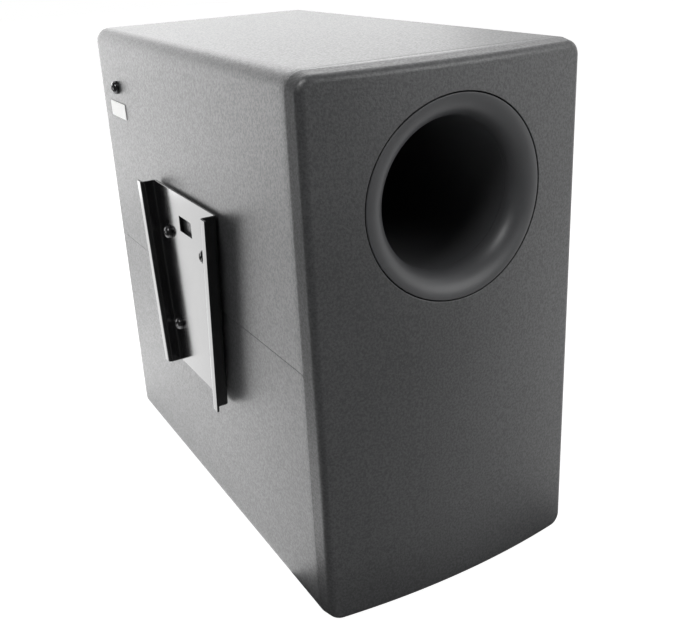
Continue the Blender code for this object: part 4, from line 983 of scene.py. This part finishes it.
@dataclass
class Port:
    """Front flare, tube and inner flare."""

    rim: float = 0.0702
    skin: float = 0.003
    ledge: float = 0.007            # chord of the front to the rim's foot
    tube_wall: float = 0.0025
    throat_run: float = 0.003
    socket: float = 0.017
    rim_edge: float = 0.0005
    rim_turn: float = 75.0          # degrees of that edge, and of the flare left out beside it
    rim_cut: float = 2.0
    inner_flare: float = 0.012
    steps: int = 160

    def __post_init__(self) -> None:
        """Read the port's axis from the frame."""
        self.tube = Box.of("port_tube")
        self.throat = self.tube.half[0] - self.tube_wall
        self.flare = self.rim - self.throat
        self.socket_radius = self.throat + self.tube_wall + FIT_GAP
        self.sleeve = self.socket_radius + self.skin

    def flare_profile(self, bow: float) -> Array:
        """Closed section of the flare: rim wall, quarter-round airway, throat, socket, sleeve and back.

        Args:
            bow: how far the rim stands ahead of the chord in the middle.

        Returns:
            Points (radius, depth behind the chord).
        """
        deep = self.flare - bow
        start = deep + self.throat_run
        end = start + self.socket
        back = self.flare - self.skin
        low = 180 + math.degrees(math.acos((self.rim - self.sleeve) / back))
        high = 180 + math.degrees(math.acos(self.skin / back))
        top = deep - self.flare
        edge = self.rim_edge
        return np.concatenate([
            [(self.rim - self.skin, self.ledge), (self.rim, self.ledge), (self.rim, top + 4 * edge)],
            arc((self.rim - edge, top + edge), edge, 0, -self.rim_turn, 5),
            arc((self.rim, deep), self.flare, 270 - self.rim_cut, 180, 40),
            [(self.throat, start), (self.socket_radius, start), (self.socket_radius, end)],
            [(self.sleeve, end)],
            arc((self.rim, deep), back, low, high, 12)])

    def build(self, cabinet: Cabinet) -> None:
        """Turned pieces about the port's axis; the flare's rim is pushed back to follow the bow.

        The push is the bow's fall at that place across, times the share of the way from the throat to
        the rim, and nothing below the rim's foot.

        Args:
            cabinet: gives the bow of the front.
        """
        axis = np.array([self.tube.centre[0], cabinet.chord, self.tube.centre[2]])
        points = Facing.INWARD.place(turned(self.flare_profile(cabinet.bow), self.steps), axis)
        off_axis = np.hypot(points[..., 0] - axis[0], points[..., 2] - axis[2])
        fall = cabinet.front(points[..., 0]) - cabinet.box.low[1]
        ahead = points[..., 1] - axis[1] < self.ledge - FIT_GAP
        points[..., 1] += fall * np.clip((off_axis - self.throat) / self.flare, 0, 1) * ahead
        show(Form("flared_mouth").grid(points, ring=True), PORT_PLASTIC, "port_flare")

        outer = self.throat + self.tube_wall
        first, last = self.tube.low[1] - axis[1], self.tube.high[1] - axis[1]
        pipe = [[(outer, first), (self.throat, first), (self.throat, last), (outer, last)]]
        shoulder = last + FIT_GAP
        centre = (self.throat + self.inner_flare, shoulder + self.throat_run)
        back = self.inner_flare - self.skin
        meet = 180 - math.degrees(math.acos((centre[0] - self.sleeve) / back))
        mouth = [
            arc(centre, self.inner_flare, 90, 180, 20),
            [(self.throat, shoulder), (self.socket_radius, shoulder)],
            [(self.socket_radius, shoulder - self.socket), (self.sleeve, shoulder - self.socket)],
            arc(centre, back, meet, 90, 10)]
        for name, profile, node in (
                ("port_pipe", pipe, "port_tube"), ("inner_mouth", mouth, "port_inner_flare")):
            item = Form(name).lathe(profile, Facing.INWARD, axis, self.steps, ring=True)
            show(item, PORT_PLASTIC, node)


# Bracket side

@dataclass
class HangingBracket:
    """Tapered hat-section sheet, its bosses and screws, the anchor screw and the bare label."""

    height: float = 0.165
    top_width: float = 0.135        # between the walls' middles
    bottom_width: float = 0.103
    reach: float = 0.016            # cabinet side to the lips' outer face
    standoff: float = 0.002
    sheet: float = 0.002
    lip: float = 0.0095
    bend: float = 0.0025
    window_length: float = 0.026
    window_height: float = 0.013
    window_rise: float = 0.0565
    boss: float = 0.009
    edge: float = 0.0004
    sharp: float = 60.0             # degrees
    head_radius: float = 0.0055
    head_height: float = 0.0045
    shank: float = 0.003
    grip: float = 0.011
    hold: float = 0.002             # flat kept beside an edge or a bend
    wall_hold: float = 0.0005
    columns: int = 9                # grid lines across each third of the plate
    boss_steps: int = 48
    screw_turns: tuple[float, ...] = (0.5, 1.15, 0.2, 0.85)
    anchor_turn: float = 0.7
    label_corner: float = 0.0009
    label_inset: float = 0.00008    # of the label's outer face, and how deep its edge is
    label_edge: float = 0.00012

    def __post_init__(self) -> None:
        """Read the bracket's place from the frame."""
        box = Box.of("mount_bracket")
        self.side = box.low[0] + self.reach
        self.centre = box.centre

    def sheet_points(self) -> tuple[Array, Array]:
        """Middle surface of the sheet: a section of lips, walls, plate and bends, widened upwards.

        A point of a lip, wall or bend keeps its distance from the wall's middle, and the wall's middle
        moves out with the height. The plate is divided at the window's edges.

        Returns:
            Grid of points, rows upwards, and which of its quads are sheet and not window.
        """
        lip_out = self.reach - self.sheet / 2
        plate_out = self.standoff + self.sheet / 2
        turn, hold = self.bend, self.hold
        flank = np.concatenate([
            [(-self.lip, lip_out), (hold - self.lip, lip_out), (-turn - hold, lip_out)],
            arc((-turn, lip_out - turn), turn, 90, 0, 8),
            np.linspace((0, lip_out - turn - self.wall_hold), (0, plate_out + turn + self.wall_hold), 4),
            arc((turn, plate_out + turn), turn, 180, 270, 8),
            [(turn + hold, plate_out)]])
        half_window = self.window_height / 2
        sill, lintel = self.window_rise - half_window, self.window_rise + half_window
        top = self.height / 2
        heights = np.concatenate([
            [-top, hold - top], np.linspace(hold * 2 - top, sill, 22),
            np.linspace(sill, lintel, 5)[1:], [top - hold * 2, top - hold, top]])
        share = (heights + top) / self.height
        half = (self.bottom_width + (self.top_width - self.bottom_width) * share)[:, None] / 2
        rear_flank = flank[::-1] * (-1, 1)
        left = flank[:, 0] - half
        right = rear_flank[:, 0] + half
        gap = self.window_length / 2
        between = np.linspace(0, 1, self.columns)[None, 1:-1]
        before = left[:, -1:] + (-gap - left[:, -1:]) * between
        after = gap + (right[:, :1] - gap) * between
        opening = np.broadcast_to(np.linspace(-gap, gap, self.columns), (len(heights), self.columns))
        along = np.concatenate([left, before, opening, after, right], axis=1)
        flat = np.full(along.shape[1] - 2 * len(flank), plate_out)
        out = np.concatenate([flank[:, 1], flat, rear_flank[:, 1]])
        keep = np.ones((len(heights) - 1, along.shape[1] - 1), bool)
        first = left.shape[1] + before.shape[1]
        in_window = np.abs((heights[1:] + heights[:-1]) / 2 - self.window_rise) < half_window
        keep[in_window, first:first + self.columns - 1] = False
        points = np.stack([
            np.broadcast_to(self.side - out, along.shape), self.centre[1] + along,
            np.broadcast_to((self.centre[2] + heights)[:, None], along.shape)], axis=-1)
        return points, keep

    def build_sheet(self) -> None:
        """Sheet of real thickness about its middle surface, with its cut edges eased."""
        points, keep = self.sheet_points()
        item = Form("folded_bracket", sharp=self.sharp).grid(points, wrap=False, keep=keep)
        thicken = item.modifiers.new("sheet", "SOLIDIFY")
        thicken.thickness = self.sheet
        thicken.offset = 0
        thicken.use_even_offset = True
        show(round_edges(item, self.edge), BLACK_STEEL, "mount_bracket")

    def build_screws(self) -> None:
        """Bracket screws in their packed places, each over a boss, and the anchor screw by the side."""
        facing = Facing.BRACKET_SIDE
        through = self.grip + self.standoff + self.sheet
        head = ScrewHead(self.head_radius, self.head_height, self.shank, through)
        seat = self.side - self.standoff - self.sheet - FIT_GAP
        bore, edge = self.shank + FIT_GAP, self.edge
        boss = [
            [(bore, FIT_GAP)], arc((self.boss - edge, FIT_GAP + edge), edge, 270, 360, 3),
            [(self.boss, self.standoff), (bore, self.standoff)]]
        for index, turned_by in enumerate(self.screw_turns, start=1):
            node = f"bracket_screw_{index}"
            place = Box.of(node).centre[1:]
            show(head.piece(f"pan_screw_{index}", turned_by, facing, (seat, *place)), DARK_STEEL, node)
            origin = (self.side, *place)
            item = Form(f"bracket_boss_{index}").lathe(boss, facing, origin, self.boss_steps, ring=True)
            show(item, BLACK_STEEL)
        box = Box.of("anchor_screw")
        foot = self.side - FIT_GAP
        anchor = ScrewHead(box.half[2], foot - box.low[0], self.shank, self.grip)
        item = anchor.piece("anchor_head", self.anchor_turn, facing, (foot, *box.centre[1:]))
        show(item, DARK_STEEL, "anchor_screw")

    def build_label(self) -> None:
        """Bare label: thin rounded rectangles, the outer one drawn in at its edge."""
        label = Box.of("blank_label")
        low, high = label.low, label.high
        outline, inward = rounded_outline(low[1:], high[1:], (self.label_corner,) * 4, 6, 6)
        insets = np.array([0.0, 0.0, self.label_inset])[:, None, None]
        depths = np.array([high[0], low[0] + self.label_edge, low[0]])[:, None, None]
        flat = outline[None] + insets * inward[None]
        points = np.concatenate([np.broadcast_to(depths, flat.shape[:2] + (1,)), flat], axis=-1)
        show(Form("bare_label").grid(points, caps=True), WHITE_LABEL, "blank_label")

    def build(self) -> None:
        """All that is on the bracket side."""
        self.build_sheet()
        self.build_screws()
        self.build_label()


# Drive unit

@dataclass
class DriveUnit:
    """Cone, cap, soft suspension and motor, on the divider's top."""

    skin: float = 0.0008            # surround, spider and dust cap
    roll: float = 0.0055
    roll_flat: float = 0.0045
    rolls: int = 3
    spider_collar: float = 0.004
    spider_roll: float = 0.0012
    spider_ledge: float = 0.0495
    cone_skin: float = 0.001
    cone_rim: float = 0.0635
    cone_flat: float = 0.059
    cone_dish: float = 0.0022       # how far the cone's wall bellies
    cone_lean: float = 0.3          # the wall's inner face, moved out by this share of the skin
    neck_skins: float = 5           # height of the cone's neck, in skins
    steps: int = 120

    def __post_init__(self) -> None:
        """Read the driver's axis and the cone's neck from the frame."""
        self.axis = Box.of("voice_coil").centre
        self.neck = Box.of("coil_former").half[0] + FIT_GAP

    def turn(self, name: str, *stretches: Array | list) -> Piece:
        """Closed profile of (radius, height) turned about the driver's axis."""
        return Form(name).lathe(stretches, Facing.UP, (*self.axis[:2], 0), self.steps, ring=True)

    def bend(self, item: Piece, finish: Finish, node: str, inner: float, outer: float) -> None:
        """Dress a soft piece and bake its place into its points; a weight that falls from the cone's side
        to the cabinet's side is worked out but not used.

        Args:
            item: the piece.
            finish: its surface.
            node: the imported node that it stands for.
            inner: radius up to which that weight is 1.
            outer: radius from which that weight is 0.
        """
        dressed(item, finish, node)
        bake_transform(item)
        place = np.empty(len(item.data.vertices) * 3)
        item.data.vertices.foreach_get("co", place)
        radius = np.hypot(*(place.reshape(-1, 3)[:, :2] - self.axis[:2]).T)
        weight = 1 - smooth_rise(radius, inner, outer)
        LOG.info("%s: bends between cabinet and moving_cone", item.name)

    def build_suspension(self) -> None:
        """Half-roll surround, and a spider whose height is a run of cosine waves."""
        box = Box.of("surround")
        seat, outer = box.low[2], box.half[0]
        roll = outer - self.roll_flat - self.roll
        inner = roll - self.roll - self.roll_flat
        crown = self.roll + self.skin
        rise = math.degrees(math.asin(self.skin / crown))
        item = self.turn(
            "rolled_surround",
            [(outer, seat + self.skin), (outer, seat)],
            arc((roll, seat), self.roll, 0, 180, 24),
            [(inner, seat), (inner, seat + self.skin)],
            arc((roll, seat), crown, 180 - rise, rise, 24))
        self.bend(item, RUBBER, "surround", roll - self.roll, roll + self.roll)

        box = Box.of("spider")
        start, ledge = self.neck + self.spider_collar, self.spider_ledge
        radius = np.concatenate([[self.neck], np.linspace(start, ledge, 73), [box.half[0]]])
        share = np.clip((radius - start) / (ledge - start), 0, 1)
        height = box.low[2] + self.spider_roll * (1 - np.cos(2 * math.pi * self.rolls * share)) / 2
        under = np.stack([radius, height], axis=1)
        item = self.turn("corrugated_spider", under[::-1], under + (0, self.skin))
        self.bend(item, SPIDER_CLOTH, "spider", start, ledge)

    def build_cone(self) -> None:
        """Cone with a bellied wall, and its domed cap."""
        box = Box.of("cone")
        top, foot, neck, skin = box.high[2], box.low[2], self.neck, self.cone_skin
        neck_top = foot + self.neck_skins * skin
        share = np.linspace(0, 1, 25)
        wall = np.stack([
            neck + (self.cone_flat - neck) * share,
            neck_top + (top - neck_top) * share - self.cone_dish * np.sin(math.pi * share)], axis=1)
        item = self.turn(
            "pulp_cone",
            [(self.cone_rim, top), (self.cone_rim, top - skin)],
            wall[::-1] + (skin * self.cone_lean, -skin),
            [(neck + skin, foot), (neck, foot)],
            wall)
        show(item, CONE_PAPER, "cone", body="moving_cone")

        box = Box.of("dust_cap")
        radius = box.half[0]
        rise = box.high[2] - box.low[2] - self.skin
        dome = (radius ** 2 + rise ** 2) / (2 * rise)
        spread = math.degrees(math.asin(radius / dome))
        under = arc((0, box.low[2] + rise - dome), dome, 90 - spread, 90, 20)
        item = self.turn("domed_cap", under, under[::-1] + (0, self.skin))
        show(item, CONE_PAPER, "dust_cap", body="moving_cone")

    def build(self) -> None:
        """All of the drive unit."""
        self.build_suspension()
        self.build_cone()
        keep_nodes(
            coil_former=FORMER_FILM, voice_coil=COPPER, driver_gasket=RUBBER,
            driver_basket=BLACK_STEEL, top_plate=ZINC_STEEL, magnet_ring=FERRITE,
            pole_piece=ZINC_STEEL, driver_terminal=GOLD_PLATE, speaker_lead_positive=RED_WIRE,
            speaker_lead_negative=BLACK_WIRE)


# Amplifier

@dataclass
class Amplifier:
    """Panel in the well of the back, with its controls, terminals and heat sink."""

    dials: tuple[str, ...] = ("gain", "crossover", "boost")
    flutes: int = 28
    flute: float = 0.00035
    flute_steps: int = 8
    chamfer: float = 0.0009
    knob_shaft: float = 0.003
    knob_draft: float = 0.97        # top of the knob's wall, as a share of its radius
    knob_dish: Pair = (0.7, 0.6)
    flute_zone: Pair = (0.8, 0.95)
    pointer: float = 0.0012
    pointer_place: Pair = (0.62, 0.35)   # out in radii, below the top in chamfers
    pointer_half: Pair = (0.27, 0.33)
    pointer_edge: float = 0.0001
    ticks: int = 11
    tick_reach: float = 0.0105      # from a knob's axis
    tick_half: Pair = (0.0011, 0.0007)   # long and short ones
    tick_width: float = 0.0002
    long_every: int = 5
    swing: float = 150.0            # each way, in degrees
    ink: float = 0.00008
    screw: ScrewHead = ScrewHead(0.0032, 0.0018, rings=20, steps=64)
    screw_inset: float = 0.0055
    screw_turn: float = 0.37
    clamp_turn: float = 0.5
    bays: int = 3
    bay_wall: float = 0.002
    strip_base: float = 0.004
    flange: float = 0.0023          # panel's face to the shoulder of a jack or the lamp
    jack_step: float = 0.0013
    jack_wall: float = 0.0007
    jack_bore: float = 0.0017
    jack_edge: float = 0.0003
    jack_floor: float = 0.0012
    nut: float = 0.0009
    nut_rise: Triple = (0.0004, 0.0015, 0.0019)
    ring_play: float = 0.0001
    ring_rim: float = 0.0005
    lamp_step: float = 0.001
    jack_steps: int = 64
    lamp_steps: int = 48
    panel_edge: float = 0.0004      # roundings of panel, other pieces and lever
    edge: float = 0.0003
    lever_edge: float = 0.0002

    def __post_init__(self) -> None:
        """Read the panel's place from the frame."""
        self.panel = Box.of("amp_panel")
        self.face = self.panel.high[1]

    def stand(self, node: str) -> tuple[Array, float, float, float]:
        """Where a round control stands on the panel.

        Args:
            node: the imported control.

        Returns:
            Its axis at the panel's face, its radius, and its lowest and highest height over the face.
        """
        box = Box.of(node)
        axis = np.array([box.centre[0], self.face, box.centre[2]])
        return axis, box.half[0], box.low[1] - self.face, box.high[1] - self.face

    def knob_points(self, radius: float, shaft: float, top: float) -> Array:
        """Fluted knob: the radius is the knob's less a scallop that repeats round it.

        Args:
            radius: the knob's radius.
            shaft: height of the shaft's end.
            top: height of the knob.

        Returns:
            Grid of points, from the shaft's end over the skirt to the middle of the dished top.
        """
        cut, wall = self.chamfer, radius * self.knob_draft
        brim, hollow = (radius * share for share in self.knob_dish)
        profile = np.concatenate([
            [(0, shaft), (self.knob_shaft, shaft), (self.knob_shaft, FIT_GAP), (radius - cut, FIT_GAP)],
            [(radius, FIT_GAP + cut / 2), (wall, top - 2 * cut)],
            arc((wall - cut, top - cut), cut, 0, 90, 5),
            [(brim, top), (hollow, top - cut / 3), (0, top - cut / 2)]])
        points = turned(profile, self.flute_steps * self.flutes)
        angle = np.arctan2(points[..., 1], points[..., 0])
        scallop = np.abs(np.cos(angle * self.flutes / 2)) ** 3
        share = np.clip(np.hypot(points[..., 0], points[..., 1]) / radius, 0, 1)
        depth = self.flute / radius * scallop * smooth_rise(share, *self.flute_zone)
        points[..., :2] *= (1 - depth)[..., None]
        return points

    def build_dials(self) -> None:
        """Knobs with white pointers that turn with them, and a fan of marks on the panel."""
        angle = np.radians(90 + np.linspace(-self.swing, self.swing, self.ticks))
        way = np.stack([np.cos(angle), np.sin(angle), np.zeros(self.ticks)], axis=1)
        across = np.stack([-way[:, 1], way[:, 0], way[:, 2]], axis=1)
        ends = np.where(np.arange(self.ticks) % self.long_every == 0, *self.tick_half)[:, None]
        thick = np.tile([0, 0, self.ink / 2], (self.ticks, 1))
        halves = np.stack([way * ends, across * self.tick_width, thick], axis=1)
        for dial in self.dials:
            node, body = f"{dial}_knob", f"{dial}_dial"
            axis, radius, shaft, top = self.stand(node)
            points = Facing.BACK.place(self.knob_points(radius, shaft, top), axis)
            show(Form(f"{dial}_fluted_knob").grid(points), MOULDED_BLACK, node, body=body)
            (out, sunk), (long, deep) = self.pointer_place, self.pointer_half
            line = np.array([[0, radius * out, top - self.chamfer * sunk]])
            half = np.diag([self.pointer / 2, radius * long, self.chamfer * deep])[None]
            item = Form(f"{dial}_pointer").boxes(line, half, Facing.BACK, axis)
            show(round_edges(item, self.pointer_edge), PANEL_INK, body=body)
            places = way * self.tick_reach + (0, 0, self.ink)
            show(Form(f"{dial}_marks").boxes(places, halves, Facing.BACK, axis), PANEL_INK)

    def build_jacks(self) -> None:
        """Signal jacks: a plated sleeve with a coloured insulator round the bore."""
        edge, play = self.jack_edge, self.ring_play
        low_nut, high_nut, nut_end = self.nut_rise
        for side, finish in (("left", WHITE_LABEL), ("right", RED_WIRE)):
            node = f"input_jack_{side}"
            axis, shoulder, seat, top = self.stand(node)
            sleeve = shoulder - self.jack_step
            bore, nut = sleeve - self.jack_wall, sleeve + self.nut
            floor = top - self.jack_floor
            profile = [
                [(0, seat), (shoulder, seat), (shoulder, -self.flange), (sleeve, -self.flange)],
                [(sleeve, low_nut), (nut, low_nut), (nut, high_nut), (sleeve, nut_end)],
                arc((sleeve - edge, top - edge), edge, 0, 90, 4),
                [(bore, top), (bore, floor), (0, floor)]]
            item = Form(f"{side}_jack_sleeve").lathe(profile, Facing.BACK, axis, self.jack_steps)
            show(item, GOLD_PLATE, node)
            foot, rim = floor + play, top - self.ring_rim
            ring = [
                [(self.jack_bore, foot), (bore - play, foot), (bore - play, rim)],
                arc((self.jack_bore + edge, top - 2 * edge), edge, 90, 180, 4)]
            item = Form(f"{side}_jack_ring").lathe(ring, Facing.BACK, axis, self.jack_steps, ring=True)
            show(item, finish)

    def build_lamp(self) -> None:
        """Power lamp: a domed lens on a shoulder behind the panel."""
        axis, shoulder, seat, rise = self.stand("power_lamp")
        lens = shoulder - self.lamp_step
        dome = (lens ** 2 + rise ** 2) / (2 * rise)
        spread = math.degrees(math.asin(min(lens / dome, 1)))
        profile = [
            [(0, seat), (shoulder, seat), (shoulder, -self.flange), (lens, -self.flange), (lens, 0)],
            arc((0, rise - dome), dome, 90 - spread, 90, 12)]
        item = Form("lamp_lens").lathe(profile, Facing.BACK, axis, self.lamp_steps)
        show(item, CLEAR_LENS, "power_lamp")

    def build_fasteners(self) -> None:
        """Panel screws round the rim, and the clamping screws of the power strip."""
        inset = self.screw_inset
        across, up = (
            np.linspace(self.panel.low[way] + inset, self.panel.high[way] - inset, 3) for way in (0, 2))
        places = [(x, z) for x in across for z in up if (x, z) != (across[1], up[1])]
        for index, (x, z) in enumerate(places, start=1):
            seat = (x, self.face + FIT_GAP / 3, z)
            item = self.screw.piece(f"panel_screw_{index}", self.screw_turn * index, Facing.BACK, seat)
            show(item, DARK_STEEL)
        box = Box.of("terminal_block")
        pitch = (box.high[0] - box.low[0] - self.bay_wall) / self.bays
        for index in range(self.bays):
            x = box.low[0] + (self.bay_wall + pitch) / 2 + index * pitch
            seat = (x, box.low[1] + self.strip_base + FIT_GAP / 3, box.centre[2])
            turned_by = self.clamp_turn + index
            item = self.screw.piece(f"clamp_screw_{index + 1}", turned_by, Facing.BACK, seat)
            show(item, ZINC_STEEL)

    def build(self) -> None:
        """All of the amplifier."""
        eased = (
            ("control_panel", "amp_panel", self.panel_edge, BLACK_ALUMINIUM, "cabinet"),
            ("finned_sink", "heat_sink", self.edge, BLACK_ALUMINIUM, "cabinet"),
            ("power_strip", "terminal_block", self.edge, MOULDED_BLACK, "cabinet"),
            ("fuse_holder", "fuse_socket", self.edge, MOULDED_BLACK, "cabinet"),
            ("blade_fuse", "fuse", self.edge, AMBER_PLASTIC, "cabinet"),
            ("phase_slider", "phase_switch_lever", self.lever_edge, MOULDED_BLACK, "phase_lever"))
        for name, node, width, finish, body in eased:
            show(softened(name, node, width), finish, node, body=body)
        self.build_dials()
        self.build_jacks()
        self.build_lamp()
        self.build_fasteners()
        keep_nodes(
            amp_gasket=RUBBER, circuit_board=GREEN_BOARD, capacitor_left=BLUE_SLEEVE,
            capacitor_right=BLUE_SLEEVE, toroid_choke=COPPER, phase_switch_body=MOULDED_BLACK,
            **{f"{dial}_potentiometer": ZINC_STEEL for dial in self.dials})


# Stage

def unit(vector: Array) -> Array:
    """Vector of length 1 in the same direction."""
    return vector / np.linalg.norm(vector)


def stance(right: Array, up: Array, back: Array, place: Triple) -> Matrix:
    """Matrix of a lamp or camera from its own directions and its place."""
    columns = np.stack([right, up, back, place], axis=1)
    return Matrix([*columns.tolist(), (0, 0, 0, 1)])


@dataclass
class Softbox:
    """Large soft lamp: where it stands, what it faces, its size, radiance and turn in degrees."""

    name: str
    place: Triple
    target: Triple
    width: float
    height: float
    radiance: float
    turn: float = 0.0
    upright: float = 0.99           # a lamp that points more up or down than this takes X as its right

    def build(self) -> None:
        """Area lamp that the camera doesn't see."""
        lamp = bpy.data.lights.new(self.name, "AREA")
        lamp.shape = "RECTANGLE"
        lamp.size = self.width
        lamp.size_y = self.height
        lamp.energy = self.radiance * math.pi * self.width * self.height
        away = unit(np.array(self.place) - np.array(self.target))
        level = abs(away[2]) < self.upright
        right = unit(np.cross((0, 0, 1), away)) if level else np.array([1.0, 0, 0])
        angle = math.radians(self.turn)
        right = math.cos(angle) * right + math.sin(angle) * np.cross(away, right)
        item = add_object(self.name, lamp)
        item.matrix_world = stance(right, np.cross(away, right), away, self.place)
        item.visible_camera = False


LAMPS = (
    Softbox("overhead", (0.72, 0.75, 1.45), (0.0, -0.1, 0.35), 0.9, 0.9, 1.3),
    Softbox("right_key", (0.90, -1.50, 0.90), (0, -0.2, 0.25), 1.1, 1.1, 3.5),
    Softbox("front_card", (0.40, -0.78, 0.004), (0.40, -0.78, 1.0), 1.1, 1.05, 0.15),
    Softbox("port_glint", (-0.87, -0.47, 1.36), (0, -0.2, 0.3), 0.5, 0.5, 11.5),
    Softbox("rear_high", (0.12, 1.05, 1.12), (-0.1, 0.0, 0.4), 0.45, 0.4, 3.0),
    Softbox("rear_side", (-0.50, 0.95, 0.32), (-0.15, -0.1, 0.2), 0.8, 0.62, 1.75),
    Softbox("lit_sweep", (-0.351, 0.577, 0.004), (-0.351, 0.577, 1.0), 0.33, 1.493, 1.55, -18.0),
    Softbox("backdrop", (0.35, 1.6, 0.65), (0, 0, 0.3), 1.8, 1.1, 1.5))


@dataclass
class Studio:
    """White sweep, soft lamps and the camera."""

    camera_place: Triple = (-0.343888, -0.677371, 0.482037)
    azimuth: float = -29.0288
    elevation: float = 20.9793
    roll: float = 2.9434
    lens: float = 48.80
    sensor: float = 36.0
    near: float = 0.01
    shift: Pair = (-0.0080, -0.0528)
    floor_half: float = 6.0
    floor_glow: float = 0.96
    floor_grey: float = 0.8         # to plain light, and to the camera
    shadow_grey: float = 0.3
    ambient: float = 0.45
    dark_front: float = 0.04        # what gloss sees in the unlit front of the studio
    sky_slant: float = 1.1          # how much darker the sky gets to the left than to the front
    sky_edge: Pair = (-0.1, 0.5)
    # slant of X plus Y over which the floor's painted light in gloss rises from dark to full
    floor_edge: Pair = (-0.5, 0.2)
    # painted shadow on the floor in gloss beside the cabinet's foot: per axis, where it starts to lift
    # and where it is gone
    painted_foot_shadow: tuple[tuple[str, float, float], ...] = (("X", 0.11, 0.18), ("Y", 0.2, 0.3))

    def build_camera(self) -> None:
        """Camera from its place, its direction and its roll."""
        azimuth, elevation, roll = (math.radians(a) for a in (self.azimuth, self.elevation, self.roll))
        level = math.cos(elevation)
        back = np.array([math.sin(azimuth) * level, -math.cos(azimuth) * level, math.sin(elevation)])
        right = unit(np.cross(-back, (0, 0, 1)))
        down = np.cross(-back, right)
        data = bpy.data.cameras.new("camera")
        data.lens = self.lens
        data.sensor_width = self.sensor
        data.shift_x, data.shift_y = self.shift
        data.clip_start = self.near
        camera = add_object("camera", data)
        cos, sin = math.cos(roll), math.sin(roll)
        camera.matrix_world = stance(
            cos * right + sin * down, sin * right - cos * down, back, self.camera_place)
        bpy.context.scene.camera = camera

    def mirrored(self, graph: Graph) -> Socket:
        """1 for rays that show the white background: camera, glossy and transmission rays."""
        seen = graph.ray("Camera") + graph.ray("Glossy") + graph.ray("Transmission")
        return graph.math("MINIMUM", seen, 1.0)

    def lifted(self, share: Socket) -> Socket:
        """Light from the unlit front's level, where a share is 0, to full."""
        return share * (1 - self.dark_front) + self.dark_front

    def build_world(self) -> None:
        """White all round to the camera, dim towards the front in gloss, and a plain ambient light."""
        world = bpy.data.worlds.new("studio")
        world.use_nodes = True
        graph = Graph(world.node_tree)
        way = graph.node("ShaderNodeTexCoord", output="Generated")
        slant = graph.along("Y", way) + self.sky_slant * graph.along("X", way)
        level = self.mirrored(graph) * (1 - self.ambient) + self.ambient
        lit = self.lifted(slant.rise(*self.sky_edge))
        strength = graph.math("MAXIMUM", graph.ray("Camera"), lit * level)
        sky = graph.node("ShaderNodeBackground", inputs={"Color": WHITE, "Strength": strength})
        graph.node("ShaderNodeOutputWorld", inputs={"Surface": sky})
        bpy.context.scene.world = world

    def build_floor(self) -> None:
        """Pale floor that glows white to the camera and still takes the object's shadow.

        In gloss it glows with painted light: bright towards the back and dark towards the front, with a
        painted shadow close beside the cabinet.
        """
        ends = np.array([-self.floor_half, self.floor_half])
        corners = np.stack([*np.meshgrid(ends, ends), np.zeros((2, 2))], axis=-1)
        floor = Form("floor", closed=False).grid(corners, wrap=False)
        material = bpy.data.materials.new("white_floor")
        material.use_nodes = True
        graph = Graph(material.node_tree)
        camera = graph.ray("Camera")
        seen = self.mirrored(graph)
        slant = graph.along("X") + graph.along("Y")
        # clear is 0 in the painted shadow beside the cabinet and 1 beyond it
        clear = graph.math("MAXIMUM", *(
            graph.math("ABSOLUTE", graph.along(axis)).rise(*reach) for axis, *reach in self.painted_foot_shadow))
        lit = self.lifted(slant.rise(*self.floor_edge) * clear)
        strength = camera * self.floor_glow + (seen - camera) * lit
        glow = graph.node("ShaderNodeEmission", inputs={"Color": WHITE, "Strength": strength})
        plain = graph.mix(seen, (self.floor_grey,) * 3, BLACK)
        grey = graph.mix(camera, plain, (self.shadow_grey,) * 3)
        matt = graph.node("ShaderNodeBsdfDiffuse", inputs={"Color": grey})
        graph.finish(graph.node("ShaderNodeAddShader", inputs={0: matt, 1: glow}))
        floor.data.materials.append(material)

    def build(self) -> None:
        """Camera, surroundings and lamps."""
        bpy.context.scene.view_settings.view_transform = "Standard"
        self.build_camera()
        self.build_world()
        self.build_floor()
        for lamp in LAMPS:
            lamp.build()


def main() -> None:
    """Build the stage and each sub-assembly."""
    logging.basicConfig(level=logging.INFO, format="%(message)s")
    Studio().build()
    cabinet = Cabinet()
    cabinet.build()
    Port().build(cabinet)
    HangingBracket().build()
    DriveUnit().build()
    Amplifier().build()


if __name__ == "__main__":
    main()
